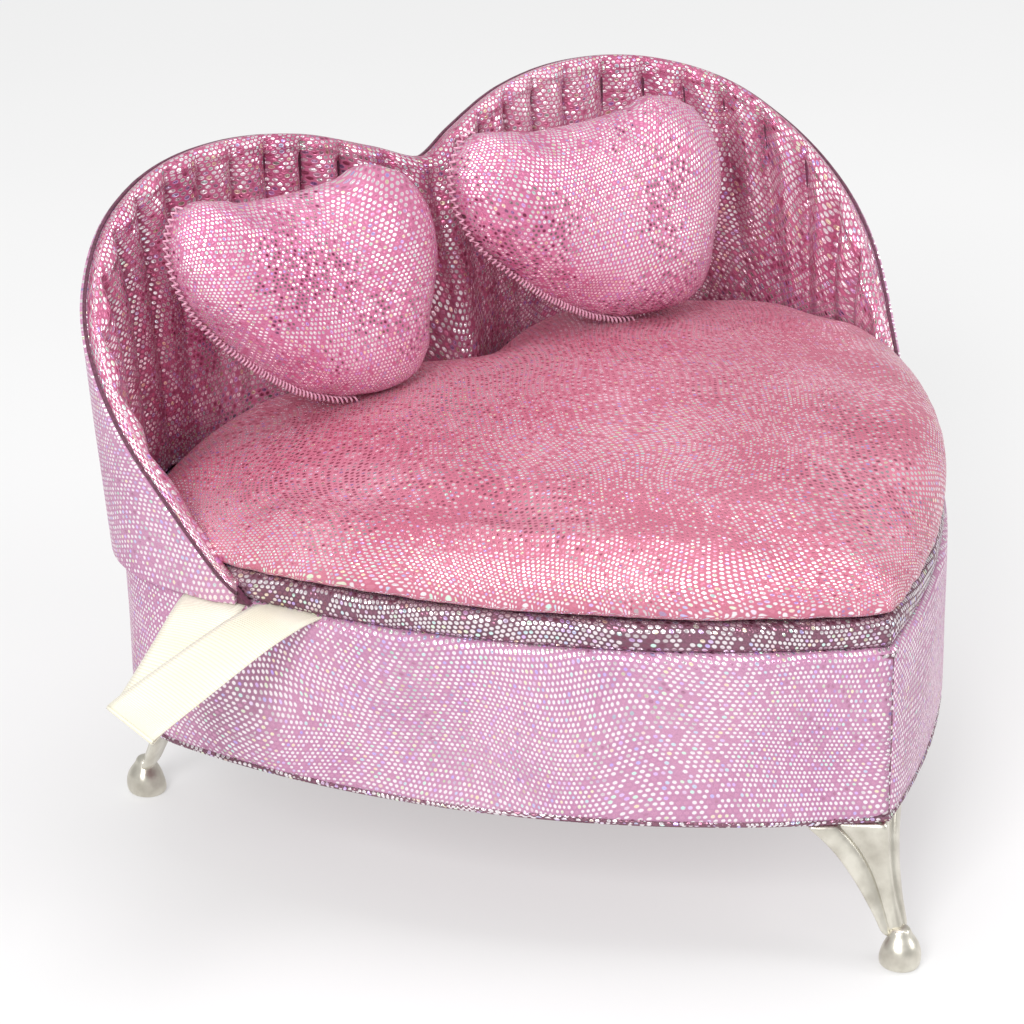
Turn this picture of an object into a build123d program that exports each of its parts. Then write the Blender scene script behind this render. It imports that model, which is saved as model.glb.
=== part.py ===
from build123d import *
import math
import os

os.makedirs("parts", exist_ok=True)

# Heart-shaped sofa jewelry box, in millimetres.
# +Z up, X across the sofa, Y from the heart's tip (front) to its notch (back).
# The origin lies on the surface that the feet stand on, on the symmetry plane,
# between the lobes' widest points.

# heart outline, one half (the other half mirrors it)
half_width = 108.5          # widest point of a lobe
widest_y = 0.0              # where the lobe is widest
lobe_x = 50.0               # rearmost point of a lobe
lobe_y = 43.0
notch_y = 33.0              # notch between the lobes, at the back
tip_y = -139.8              # point of the heart, at the front
corner_radius = 31.0        # outer corner of a lobe
side_radius = 228.0         # long bowed side

# heights
leg_height = 34.6
wall_height = 43.3
base_board_thickness = 2.5
lid_board_thickness = 5.7
seam_gap = 0.3              # between the rim and the lid

# walls and fabrics
cover_thickness = 0.5
wall_thickness = 2.4
lining_thickness = 0.6
glue_gap = 0.1
hem_height = 1.6            # base cover turned up over the base board's edge
hem_inset = 0.3

# lid and backrest
lid_inset = 1.1             # lid board's edge, inside the wall's face
lid_overlap = 3.5           # backrest's foot stands proud of the wall
panel_thickness = 2.2
inner_board_thickness = 1.4
pad_thickness = 4.7
piping_height = 1.3
flare = 0.066               # the backrest leans out with height
notch_rise = 68.0           # backrest height above the seam
crest_rise = 80.0
arm_end_y = -33.0           # where the arms run out
locating_gap = 0.9          # lining pad inside the rim
lining_pad_thickness = 2.5
mirror_thickness = 1.7
mirror_inset = 16.0
frame_width = 4.0
frame_thickness = 1.9

# seat
cushion_inset = 3.2
cushion_crown = 21.5
crown_radius = 460.0
crown_y = -40.0
soft_gap = 0.3

# heart pillows
pillow_width = 70.0
pillow_height = 55.0
pillow_tip_radius = 8.0
pillow_thickness = 20.0
pillow_lean = 16.0
pillow_roll = 12.0
pillow_left_x = -50.0
pillow_right_x = 34.0
pillow_y = 14.0
pillow_rest = 0.4           # under the lowest point

# legs
wing_length = 19.5
wing_thickness = 4.4
ankle_width = 6.0
ankle_height = 9.5
foot_radius = 5.2
foot_reach = 5.0            # foot stands out past the corner
rear_leg_distance = 43.05   # along the lobe's back, from its rearmost point
leg_inset = 0.6
lug_thickness = 2.0         # flange inside the wings, screwed to the base
lug_reach = 14.0
lug_setback = 4.0
screw_radius = 1.1
screw_head_radius = 2.2
screw_head_height = 1.2
screw_inwards = 8.0
screw_sideways = 5.0

# inside the box
floor_pad_thickness = 3.0
divider_thickness = 2.6
divider_height = 24.0
cross_divider_y = -24.0
roll_radius = 5.6
roll_gap = 0.9
roll_count = 4
roll_wall_gap = 20.5        # from the lobe's widest point
roll_middle_gap = 12.0
roll_first_y = -14.0

# hinges
hinge_x = 50.0
leaf_width = 14.0
leaf_thickness = 0.8
leaf_height = 9.5
knuckle_radius = 1.6
knuckle_half = 2.9
pin_radius = 0.7
pin_clearance = 0.05
pin_head_radius = 1.2
pin_head_height = 0.6
leaf_screw_radius = 0.6
leaf_screw_head = 1.15
leaf_screw_head_height = 0.5
leaf_screw_length = 2.0
leaf_screw_spacing = 8.0

# ribbon stay
ribbon_width = 16.0
ribbon_thickness = 1.0      # two layers
ribbon_mouth = 34.0         # two strands side by side in the seam
ribbon_reach = 38.0
ribbon_drop = 14.0
ribbon_tilt = 28.0          # front edge hangs lower
ribbon_y = -29.0

# levels worked out from the sizes above
base_z = leg_height
board_z = base_z + cover_thickness
floor_z = board_z + base_board_thickness
rim_z = base_z + wall_height
seam_z = rim_z + seam_gap
lid_top_z = seam_z + 2 * cover_thickness + lid_board_thickness
inner_offset = -(cover_thickness + wall_thickness + glue_gap + lining_thickness)
pad_top_z = floor_z + glue_gap + floor_pad_thickness
hinge_y = lobe_y + lid_overlap + knuckle_radius + 0.3
hinge_z = rim_z + seam_gap / 2
top_z = seam_z + crest_rise + 8
cushion_low_z = lid_top_z + glue_gap
cushion_top_z = cushion_low_z + cushion_crown

# circles that make the heart's half
notch_arc_radius = (lobe_x**2 + (lobe_y - notch_y)**2) / (2 * (lobe_y - notch_y))
notch_arc_centre = (lobe_x, lobe_y - notch_arc_radius)
across = half_width - lobe_x
along = lobe_y - widest_y
back_radius = (2 * across * corner_radius - across**2 - along**2) / (2 * (corner_radius - along))
back_centre = (lobe_x, lobe_y - back_radius)
corner_centre = (half_width - corner_radius, widest_y)
tip_to_corner = math.hypot(corner_centre[0], corner_centre[1] - tip_y)
tip_bearing = math.atan2(corner_centre[1] - tip_y, corner_centre[0])
swing = math.acos(
    (side_radius**2 + tip_to_corner**2 - (side_radius - corner_radius)**2)
    / (2 * side_radius * tip_to_corner)
)
side_centre = (
    side_radius * math.cos(tip_bearing + swing),
    tip_y + side_radius * math.sin(tip_bearing + swing),
)


def bearing(start, end):
    return math.atan2(end[1] - start[1], end[0] - start[0])


def on_circle(centre, radius, angle):
    return (centre[0] + radius * math.cos(angle), centre[1] + radius * math.sin(angle))


def heart_arcs(grow):
    """Centre, radius, first and last angle of each arc of the half, grown outwards."""
    notch_radius = notch_arc_radius + grow
    side = side_radius + grow
    notch_angle = math.acos(-notch_arc_centre[0] / notch_radius)
    join_back = bearing(back_centre, corner_centre)
    join_side = bearing(side_centre, corner_centre)
    tip_angle = -math.acos(-side_centre[0] / side)
    return [
        (notch_arc_centre, notch_radius, notch_angle, math.pi / 2),
        (back_centre, back_radius + grow, math.pi / 2, join_back),
        (corner_centre, corner_radius + grow, join_back, join_side),
        (side_centre, side, join_side, tip_angle),
    ]


def heart_wire(grow, z):
    """Closed heart outline at height z, set out by grow."""
    right = []
    left = []
    for centre, radius, first, last in heart_arcs(grow):
        ends = [on_circle(centre, radius, first), on_circle(centre, radius, last)]
        middle = on_circle(centre, radius, (first + last) / 2)
        points = [(ends[0][0], ends[0][1], z), (middle[0], middle[1], z), (ends[1][0], ends[1][1], z)]
        if abs(points[0][0]) < 1e-6:
            points[0] = (0, points[0][1], z)
        if abs(points[2][0]) < 1e-6:
            points[2] = (0, points[2][1], z)
        right.append(ThreePointArc(*points))
        mirrored = [(-x, y, level) for x, y, level in points]
        left.append(ThreePointArc(*reversed(mirrored)))
    return Wire(right + left[::-1])


def heart_plate(grow, low, high):
    return extrude(Face(heart_wire(grow, low)), amount=high - low, dir=(0, 0, 1))


def heart_ring(outside, inside, low, high):
    return heart_plate(outside, low, high) - heart_plate(inside, low - 1, high + 1)


def leaning_plate(grow, low, high):
    """Heart that grows with height, as the backrest leans out."""
    lower = heart_wire(grow + flare * (low - seam_z), low)
    upper = heart_wire(grow + flare * (high - seam_z), high)
    return Solid.make_loft([lower, upper], True)


def leaning_ring(outside, inside, low, high):
    return leaning_plate(outside, low, high) - leaning_plate(inside, low - 1, high + 1)


def below_crest(lowered):
    """Everything under the backrest's top edge, as two crossed prisms."""
    span = 2 * half_width
    front_points = [
        (0, notch_rise),
        (13, notch_rise + 4),
        (lobe_x - 18, crest_rise - 3),
        (lobe_x + 4, crest_rise),
        (half_width - 31.5, crest_rise - 1.6),
        (half_width - 20.5, crest_rise - 6.2),
        (half_width - 12.2, crest_rise - 12.2),
        (half_width - 4.5, crest_rise - 20),
        (half_width + 9.5, crest_rise - 38),
    ]
    right = [(x, seam_z + rise - lowered) for x, rise in front_points]
    left = [(-x, z) for x, z in right[:0:-1]]
    front_edge = Spline(*(left + right))
    low = seam_z - 20
    first = left[0]
    last = right[-1]
    front_frame = Polyline(last, (last[0], low), (first[0], low), first)
    front_face = Plane.XZ * make_face([front_edge, front_frame])
    front = extrude(front_face, amount=span, both=True)

    side_points = [
        (arm_end_y, 0),
        (arm_end_y + 18, 20.5),
        (arm_end_y + 38.7, 45.5),
        (arm_end_y + 58.2, 67.5),
        (arm_end_y + 64, 75),
        (arm_end_y + 72, 87),
        (arm_end_y + 110, 150),
    ]
    edge = [(y, seam_z + rise - lowered) for y, rise in side_points]
    side_edge = Spline(*edge)
    first = edge[0]
    last = edge[-1]
    side_frame = Polyline(last, (last[0], low), (first[0], low), first)
    side_face = Plane.YZ * make_face([side_edge, side_frame])
    side = extrude(side_face, amount=span, both=True)
    return front & side


def cylinder(radius, start, end):
    """Round bar from start to end."""
    axis = Vector(*end) - Vector(*start)
    return Solid.make_cylinder(radius, axis.length, Plane(origin=start, z_dir=axis))


def block(low, high):
    size = [high[i] - low[i] for i in range(3)]
    middle = [(high[i] + low[i]) / 2 for i in range(3)]
    return Pos(*middle) * Box(*size)


# legs -----------------------------------------------------------------------

def leg_places():
    """Corner point, outward bearing and half angle between the wings of each leg."""
    tip_tangent = math.pi / 2 - math.acos(-side_centre[0] / side_radius)
    rear_angle = math.pi / 2 - rear_leg_distance / back_radius
    rear = on_circle(back_centre, back_radius - leg_inset, rear_angle)
    return {
        "leg_front": ((0, tip_y + leg_inset), -math.pi / 2, math.pi / 2 - abs(tip_tangent)),
        "leg_right": (rear, rear_angle, math.radians(76)),
        "leg_left": ((-rear[0], rear[1]), math.pi - rear_angle, math.radians(76)),
    }


def leg_point(place, outwards, along_wing, side, z):
    corner, out_bearing, half_angle = place
    wing_bearing = out_bearing + math.pi - side * half_angle
    x = corner[0] + outwards * math.cos(out_bearing) + along_wing * math.cos(wing_bearing)
    y = corner[1] + outwards * math.sin(out_bearing) + along_wing * math.sin(wing_bearing)
    return (x, y, z)


def wing_section(place, side, z, reach, length, thickness):
    """Rounded bar section of a wing, from the ridge inwards."""
    corner, out_bearing, half_angle = place
    wing_bearing = out_bearing + math.pi - side * half_angle
    centre = leg_point(place, reach - thickness / 2, length / 2, side, z)
    plane = Plane(
        origin=centre,
        x_dir=(math.cos(wing_bearing), math.sin(wing_bearing), 0),
        z_dir=(0, 0, 1),
    )
    return plane * RectangleRounded(length, thickness, thickness * 0.4)


def leg_wing(place, side):
    ankle = ankle_height - 2
    rows = [
        (base_z, 0.5, wing_length, wing_thickness),
        (base_z * 0.8, 1.3, wing_length * 0.74, wing_thickness),
        (base_z * 0.52, 2.9, wing_length * 0.44, wing_thickness * 0.96),
        (ankle, foot_reach + ankle_width * 0.4, ankle_width * 0.95, wing_thickness),
    ]
    sections = [wing_section(place, side, z, reach, size, thick) for z, reach, size, thick in rows]
    return loft([section.face() for section in sections])


def foot(place):
    """Ball foot, flattened where it stands."""
    x, y, _ = leg_point(place, foot_reach, 0, 1, 0)
    height = ankle_height + 1.5
    ball = Pos(x, y, height * 0.44) * scale(Sphere(foot_radius), by=(1, 1, height * 0.56 / foot_radius))
    keep = block((x - 20, y - 20, 0), (x + 20, y + 20, height + 2))
    return ball & keep


def leg(name):
    place = leg_places()[name]
    shape = leg_wing(place, 1) + leg_wing(place, -1) + foot(place) + leg_lug(place)
    for side in (1, -1):
        shape -= screw_shank(place, side)
    return shape


def leg_lug(place):
    """Kite-shaped flange between the wings, under the base."""
    low = base_z - lug_thickness
    reach = wing_length * 0.82
    corners = [
        leg_point(place, -lug_setback, 0, 1, low),
        leg_point(place, 0, reach, 1, low),
        leg_point(place, -lug_reach, 0, 1, low),
        leg_point(place, 0, reach, -1, low),
    ]
    return extrude(Face(Wire.make_polygon(corners)), amount=lug_thickness, dir=(0, 0, 1))


def screw_spot(place, side, z):
    corner, out_bearing, _ = place
    x = corner[0] - screw_inwards * math.cos(out_bearing) - side * screw_sideways * math.sin(out_bearing)
    y = corner[1] - screw_inwards * math.sin(out_bearing) + side * screw_sideways * math.cos(out_bearing)
    return (x, y, z)


def screw_shank(place, side):
    bottom = screw_spot(place, side, base_z - lug_thickness)
    return cylinder(screw_radius, bottom, screw_spot(place, side, floor_z - screw_head_height))


def screw_head(place, side):
    low = screw_spot(place, side, floor_z - screw_head_height)
    return cylinder(screw_head_radius, low, screw_spot(place, side, floor_z))


def leg_screws():
    screws = []
    for place in leg_places().values():
        for side in (1, -1):
            screws.append(screw_shank(place, side) + screw_head(place, side))
    return screws


# box ------------------------------------------------------------------------

def base_cover():
    """Fabric under the base board, turned up as a hem round its edge."""
    inside = -hem_inset - cover_thickness
    shape = heart_plate(-hem_inset, base_z, board_z)
    shape += heart_ring(-hem_inset, inside, base_z, base_z + hem_height)
    for screw in leg_screws():
        shape -= screw
    return shape


def base_board():
    shape = heart_plate(-hem_inset - cover_thickness - glue_gap, board_z, floor_z)
    for screw in leg_screws():
        shape -= screw
    return shape


def wall_board():
    outside = -cover_thickness
    inside = outside - wall_thickness
    shape = heart_ring(outside, inside, floor_z, rim_z - cover_thickness)
    for screw in lower_leaf_screws():
        shape -= screw
    return shape


def wall_cover():
    side = heart_ring(0, -cover_thickness, base_z + hem_height + glue_gap, rim_z)
    turned_rim = heart_ring(0, inner_offset, rim_z - cover_thickness, rim_z)
    shape = side + turned_rim
    for screw in lower_leaf_screws():
        shape -= screw
    return shape


def wall_lining():
    outside = inner_offset + lining_thickness
    return heart_ring(outside, inner_offset, floor_z, rim_z - cover_thickness)


def floor_pad():
    return heart_plate(inner_offset - soft_gap, floor_z + glue_gap, pad_top_z)


def inside_walls(low, high):
    return heart_plate(inner_offset - soft_gap, low, high)


def divider_cross():
    low = pad_top_z + glue_gap
    slab = block(
        (-half_width, cross_divider_y - divider_thickness, low),
        (half_width, cross_divider_y, low + divider_height),
    )
    return slab & inside_walls(low - 1, low + divider_height + 1)


def divider_middle():
    low = pad_top_z + glue_gap
    half = divider_thickness / 2
    slab = block((-half, cross_divider_y + glue_gap, low), (half, lobe_y, low + divider_height))
    return slab & inside_walls(low - 1, low + divider_height + 1)


def ring_rolls():
    rolls = []
    z = pad_top_z + glue_gap + roll_radius
    for number in range(roll_count):
        y = roll_first_y + number * (2 * roll_radius + roll_gap)
        bar = cylinder(roll_radius, (roll_wall_gap - half_width, y, z), (-roll_middle_gap, y, z))
        rolls.append(bar & inside_walls(z - 2 * roll_radius, z + 2 * roll_radius))
    return rolls


def ribbon_section(outwards, level, length, tilt):
    """Flat section of the ribbon, along the left wall, tilted about the way out."""
    centre, radius, _, _ = heart_arcs(0)[3]
    angle = math.asin((ribbon_y - centre[1]) / radius)
    x, y = on_circle(centre, radius + outwards, angle)
    out = Vector(-math.cos(angle), math.sin(angle), 0)
    forwards = Vector(-math.sin(angle), -math.cos(angle), 0)
    drop = math.sin(math.radians(tilt))
    along = forwards * math.cos(math.radians(tilt)) + Vector(0, 0, -drop)
    plane = Plane(origin=(-x, y, level), x_dir=along, z_dir=out)
    return (plane * Rectangle(length, ribbon_thickness)).face()


def ribbon_stay():
    """Folded loop of ribbon that hangs out of the seam on the left side."""
    mouth_z = rim_z - seam_gap - ribbon_thickness / 2
    mouth = ribbon_section(soft_gap, mouth_z, ribbon_mouth, 0)
    bend = ribbon_section(ribbon_reach * 0.5, mouth_z - ribbon_drop * 0.3, ribbon_mouth * 0.7, ribbon_tilt / 2)
    end = ribbon_section(ribbon_reach, mouth_z - ribbon_drop, ribbon_width, ribbon_tilt)
    return loft([mouth, bend, end], ruled=True)


# hinges ---------------------------------------------------------------------

def hinge_sides():
    return (-hinge_x, hinge_x)


def knuckle(x_low, x_high):
    outer = cylinder(knuckle_radius, (x_low, hinge_y, hinge_z), (x_high, hinge_y, hinge_z))
    return outer


def knuckle_bore(x):
    reach = leaf_width
    return cylinder(pin_radius + pin_clearance, (x - reach, hinge_y, hinge_z), (x + reach, hinge_y, hinge_z))


def lower_leaf_screws():
    screws = []
    y = lobe_y + leaf_thickness
    z = rim_z - 2 - leaf_height / 2
    for x in hinge_sides():
        for side in (-1, 1):
            spot = x + side * leaf_screw_spacing / 2
            shank = cylinder(leaf_screw_radius, (spot, y - leaf_thickness - leaf_screw_length, z), (spot, y, z))
            head = cylinder(leaf_screw_head, (spot, y, z), (spot, y + leaf_screw_head_height, z))
            screws.append(shank + head)
    return screws


def lower_leaf(x):
    """Leaf on the wall, with a shelf out to its two knuckles."""
    half = leaf_width / 2
    shelf_z = hinge_z - knuckle_radius - 0.65
    plate = block(
        (x - half, lobe_y, rim_z - 2 - leaf_height),
        (x + half, lobe_y + leaf_thickness, shelf_z + leaf_thickness),
    )
    shelf_end = hinge_y - knuckle_radius - 0.3
    shelf = block((x - half, lobe_y, shelf_z), (x + half, shelf_end, shelf_z + leaf_thickness))
    shape = plate + shelf
    for side in (-1, 1):
        ends = sorted((x + side * (knuckle_half + 0.1), x + side * half))
        tab = block((ends[0], shelf_end - 1, shelf_z), (ends[1], hinge_y + 0.4, shelf_z + leaf_thickness))
        shape += tab + knuckle(*ends)
    shape -= knuckle_bore(x)
    for screw in lower_leaf_screws():
        shape -= screw
    return shape


def hinge_pin(x):
    half = leaf_width / 2
    pin = cylinder(pin_radius, (x - half, hinge_y, hinge_z), (x + half, hinge_y, hinge_z))
    head = cylinder(pin_head_radius, (x + half, hinge_y, hinge_z), (x + half + pin_head_height, hinge_y, hinge_z))
    return pin + head


def lean_leaf(shape):
    """Turns a piece with the backrest's lean, about the panel's foot."""
    axis = Axis((0, lobe_y + lid_overlap, seam_z), (-1, 0, 0))
    return shape.rotate(axis, math.degrees(math.atan(flare)))


def upper_leaf_screws():
    screws = []
    y = lobe_y + lid_overlap + leaf_thickness
    z = seam_z + 2 + leaf_height / 2
    for x in hinge_sides():
        for side in (-1, 1):
            spot = x + side * leaf_screw_spacing / 2
            shank = cylinder(leaf_screw_radius, (spot, y - leaf_thickness - leaf_screw_length, z), (spot, y, z))
            head = cylinder(leaf_screw_head, (spot, y, z), (spot, y + leaf_screw_head_height, z))
            screws.append(lean_leaf(shank + head))
    return screws


def upper_leaf(x):
    """Leaf on the back of the sofa, with the middle knuckle."""
    half = leaf_width / 2
    y = lobe_y + lid_overlap
    plate = block((x - half, y, seam_z + 1.9), (x + half, y + leaf_thickness, seam_z + leaf_height + 1))
    neck = block((x - knuckle_half, y, hinge_z + 0.6), (x + knuckle_half, y + leaf_thickness, seam_z + 2.5))
    shape = lean_leaf(plate + neck) + knuckle(x - knuckle_half, x + knuckle_half)
    shape -= knuckle_bore(x)
    for screw in upper_leaf_screws():
        shape -= screw
    return shape


# lid ------------------------------------------------------------------------

def lid_board():
    low = seam_z + cover_thickness
    return heart_plate(-lid_inset - cover_thickness, low, low + lid_board_thickness)


def lid_board_cover():
    """Fabric wrapped round the lid board's edge and turned under and over it."""
    outside = -lid_inset
    side = heart_ring(outside, outside - cover_thickness, seam_z, lid_top_z)
    under = heart_ring(outside, outside - 8, seam_z, seam_z + cover_thickness)
    over = heart_ring(outside, outside - 8, lid_top_z - cover_thickness, lid_top_z)
    return side + under + over


def lid_lining_pad():
    return heart_plate(inner_offset - locating_gap, seam_z - lining_pad_thickness, seam_z)


def lid_mirror():
    high = seam_z - lining_pad_thickness
    return heart_plate(-mirror_inset, high - mirror_thickness, high)


def mirror_frame():
    high = seam_z - lining_pad_thickness
    inside = -mirror_inset + glue_gap
    return heart_ring(inside + frame_width, inside, high - frame_thickness, high)


def back_outer_panel():
    ring = leaning_ring(lid_overlap, lid_overlap - panel_thickness, seam_z, top_z)
    shape = ring & below_crest(piping_height + glue_gap)
    for screw in upper_leaf_screws():
        shape -= screw
    return shape


def back_piping():
    ring = leaning_ring(lid_overlap, lid_overlap - panel_thickness, seam_z, top_z)
    return (ring & below_crest(0)) - below_crest(piping_height)


def back_inner_board():
    outside = lid_overlap - panel_thickness - 2 * glue_gap
    ring = leaning_ring(outside, outside - inner_board_thickness, seam_z, top_z)
    shape = ring & below_crest(1.5 * piping_height)
    for screw in upper_leaf_screws():
        shape -= screw
    return shape


def pad_outside():
    return lid_overlap - panel_thickness - inner_board_thickness - 3 * glue_gap


def back_pad():
    low = lid_top_z + glue_gap
    outside = pad_outside()
    ring = leaning_ring(outside, outside - pad_thickness, low, top_z)
    return ring & below_crest(1)


def seat_cushion():
    """Domed heart: inside the backrest at the back, nearly full size at the front."""
    low = cushion_low_z
    high = cushion_top_z
    within_pad = heart_plate(pad_outside() - pad_thickness - soft_gap, low, high)
    full = heart_plate(-cushion_inset, low, high)
    front_half = block((-half_width, tip_y, low), (half_width, arm_end_y - 1.0, high))
    heart = within_pad + (full & front_half)
    dome = Pos(0, crown_y, high - crown_radius) * Sphere(crown_radius)
    return heart & dome


def dome_height(x, y):
    fall = math.sqrt(crown_radius**2 - x**2 - (y - crown_y)**2)
    return cushion_top_z - crown_radius + fall


def pillow(x):
    """Small padded heart, leaning back on the cushion."""
    lobe = pillow_width / 4
    depth = pillow_height - lobe - pillow_tip_radius
    tip = Pos(0, -depth) * Circle(pillow_tip_radius)
    flat = Sketch()
    for side in (-1, 1):
        round_lobe = Pos(side * lobe, 0) * Circle(lobe)
        flat += make_hull(round_lobe.edges() + tip.edges())
    solid = extrude(Pos(0, (depth + pillow_tip_radius - lobe) / 2) * flat, amount=pillow_thickness / 2, both=True)
    stand = Rot(90, 0, 0) * solid
    turned = Rot(-pillow_lean, 0, 0) * (Rot(0, -pillow_roll, 0) * stand)
    tip_x = x + pillow_height / 2 * math.sin(math.radians(pillow_roll))
    rest_z = dome_height(tip_x, pillow_y) + pillow_rest
    return Pos(x, pillow_y, rest_z - turned.bounding_box().min.Z) * turned


def group(solids):
    return Compound(children=list(solids))


parts = {
    "base_cover": base_cover(),
    "base_board": base_board(),
    "wall_board": wall_board(),
    "wall_cover": wall_cover(),
    "wall_lining": wall_lining(),
    "floor_pad": floor_pad(),
    "divider_cross": divider_cross(),
    "divider_middle": divider_middle(),
    "ring_rolls": group(ring_rolls()),
    "leg_front": leg("leg_front"),
    "leg_left": leg("leg_left"),
    "leg_right": leg("leg_right"),
    "leg_screws": group(leg_screws()),
    "hinge_leaves_lower": group([lower_leaf(x) for x in hinge_sides()]),
    "hinge_screws_lower": group(lower_leaf_screws()),
    "hinge_pins": group([hinge_pin(x) for x in hinge_sides()]),
    "ribbon_stay": ribbon_stay(),
    "lid_board": lid_board(),
    "lid_board_cover": lid_board_cover(),
    "lid_lining_pad": lid_lining_pad(),
    "lid_mirror": lid_mirror(),
    "mirror_frame": mirror_frame(),
    "back_outer_panel": back_outer_panel(),
    "back_piping": back_piping(),
    "back_inner_board": back_inner_board(),
    "back_pad": back_pad(),
    "seat_cushion": seat_cushion(),
    "pillow_left": pillow(pillow_left_x),
    "pillow_right": pillow(pillow_right_x),
    "hinge_leaves_upper": group([upper_leaf(x) for x in hinge_sides()]),
    "hinge_screws_upper": group(upper_leaf_screws()),
}

for name, shape in parts.items():
    export_step(shape, f"parts/{name}.step")
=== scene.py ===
import math
import bmesh
import bpy
import numpy as np
from mathutils import Matrix, Vector, noise


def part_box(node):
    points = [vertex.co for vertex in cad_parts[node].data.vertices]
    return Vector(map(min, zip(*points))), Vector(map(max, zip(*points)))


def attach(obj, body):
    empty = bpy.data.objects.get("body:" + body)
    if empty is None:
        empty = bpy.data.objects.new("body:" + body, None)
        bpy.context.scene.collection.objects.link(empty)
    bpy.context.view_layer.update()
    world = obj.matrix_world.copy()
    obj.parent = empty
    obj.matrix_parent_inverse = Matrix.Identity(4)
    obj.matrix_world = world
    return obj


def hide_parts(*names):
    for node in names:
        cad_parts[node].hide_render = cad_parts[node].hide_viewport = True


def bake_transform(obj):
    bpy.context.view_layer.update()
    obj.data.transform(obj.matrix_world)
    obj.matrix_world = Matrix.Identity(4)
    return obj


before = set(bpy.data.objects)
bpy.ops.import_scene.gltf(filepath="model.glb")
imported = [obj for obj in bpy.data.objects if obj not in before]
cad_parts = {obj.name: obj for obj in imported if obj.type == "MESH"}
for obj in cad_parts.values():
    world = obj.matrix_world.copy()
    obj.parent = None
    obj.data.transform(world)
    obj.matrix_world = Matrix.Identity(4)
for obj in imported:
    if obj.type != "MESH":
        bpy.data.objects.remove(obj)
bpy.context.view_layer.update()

# Heart-shaped sofa jewelry box, in metres, in the frame of its joinery.

# levels, read from the joinery
BASE_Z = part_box("base_cover")[0].z
RIM_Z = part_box("wall_cover")[1].z
SEAM_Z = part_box("lid_board_cover")[0].z
LID_TOP_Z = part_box("lid_board_cover")[1].z
CUSHION_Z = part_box("seat_cushion")[0].z

# heart outline, one half
HALF_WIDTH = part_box("wall_cover")[1].x
LOBE_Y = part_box("wall_cover")[1].y
TIP_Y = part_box("wall_cover")[0].y
LOBE_X = 0.050
NOTCH_Y = 0.033
CORNER_RADIUS = 0.031
SIDE_RADIUS = 0.228

# backrest
OVERLAP = 0.0035
PANEL = 0.0022
PAD = 0.0047
FLARE = 0.066
ARM_END = 0.1605            # length of each arm along the outline, from the notch
RISES = (                   # height of the back's edge above the seam, along the outline
    (0.0, 0.0682), (0.013, 0.0722), (0.0325, 0.0782), (0.055, 0.0804), (0.078, 0.0776),
    (0.1005, 0.0680), (0.123, 0.0474), (0.144, 0.0220), (0.155, 0.0088), (0.1605, 0.0036),
)
FOIL_PITCH = 0.00132


# outline --------------------------------------------------------------------

def heart_circles():
    """Centre and radius of the notch, lobe, corner and side arcs of the right half."""
    rise = LOBE_Y - NOTCH_Y
    notch = (LOBE_X**2 + rise**2) / (2 * rise)
    across = HALF_WIDTH - LOBE_X
    lobe = (2 * across * CORNER_RADIUS - across**2 - LOBE_Y**2) / (2 * (CORNER_RADIUS - LOBE_Y))
    corner = Vector((HALF_WIDTH - CORNER_RADIUS, 0))
    reach = math.hypot(corner.x, corner.y - TIP_Y)
    swing = math.acos(
        (SIDE_RADIUS**2 + reach**2 - (SIDE_RADIUS - CORNER_RADIUS)**2) / (2 * SIDE_RADIUS * reach))
    angle = math.atan2(corner.y - TIP_Y, corner.x) + swing
    side = Vector((SIDE_RADIUS * math.cos(angle), TIP_Y + SIDE_RADIUS * math.sin(angle)))
    return [
        (Vector((LOBE_X, LOBE_Y - notch)), notch),
        (Vector((LOBE_X, LOBE_Y - lobe)), lobe),
        (corner, CORNER_RADIUS),
        (side, SIDE_RADIUS),
    ]


CIRCLES = heart_circles()


def bearing(start, end):
    return math.atan2(end.y - start.y, end.x - start.x)


JOINS = [
    math.pi / 2,
    bearing(CIRCLES[1][0], CIRCLES[2][0]),
    bearing(CIRCLES[3][0], CIRCLES[2][0]),
]


def arc_ends(grow):
    """First and last angle of each arc, for an outline set out by grow."""
    notch_centre, notch = CIRCLES[0]
    side_centre, side = CIRCLES[3]
    first = math.acos(-notch_centre.x / (notch + grow))
    last = -math.acos(-side_centre.x / (side + grow))
    return list(zip([first] + JOINS, JOINS + [last]))


ARC_LENGTHS = [radius * (ends[0] - ends[1]) for (_, radius), ends in zip(CIRCLES, arc_ends(0))]
HALF_LENGTH = sum(ARC_LENGTHS)


def spot(s, grow):
    """Point of the outline at length s from the notch, to the right if positive, and the way out."""
    left = abs(s)
    ends = arc_ends(grow)
    for number, length in enumerate(ARC_LENGTHS):
        if left <= length or number == 3:
            break
        left -= length
    centre, radius = CIRCLES[number]
    share = left / ARC_LENGTHS[number]
    angle = ends[number][0] + share * (ends[number][1] - ends[number][0])
    out = Vector((math.cos(angle), math.sin(angle)))
    point = centre + (radius + grow) * out
    if s < 0:
        point.x = -point.x
        out.x = -out.x
    return point, out


def at(s, grow, z):
    """Point at height z, at length s along the outline set out by grow."""
    point, _ = spot(s, grow)
    return Vector((point.x, point.y, z))


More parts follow.
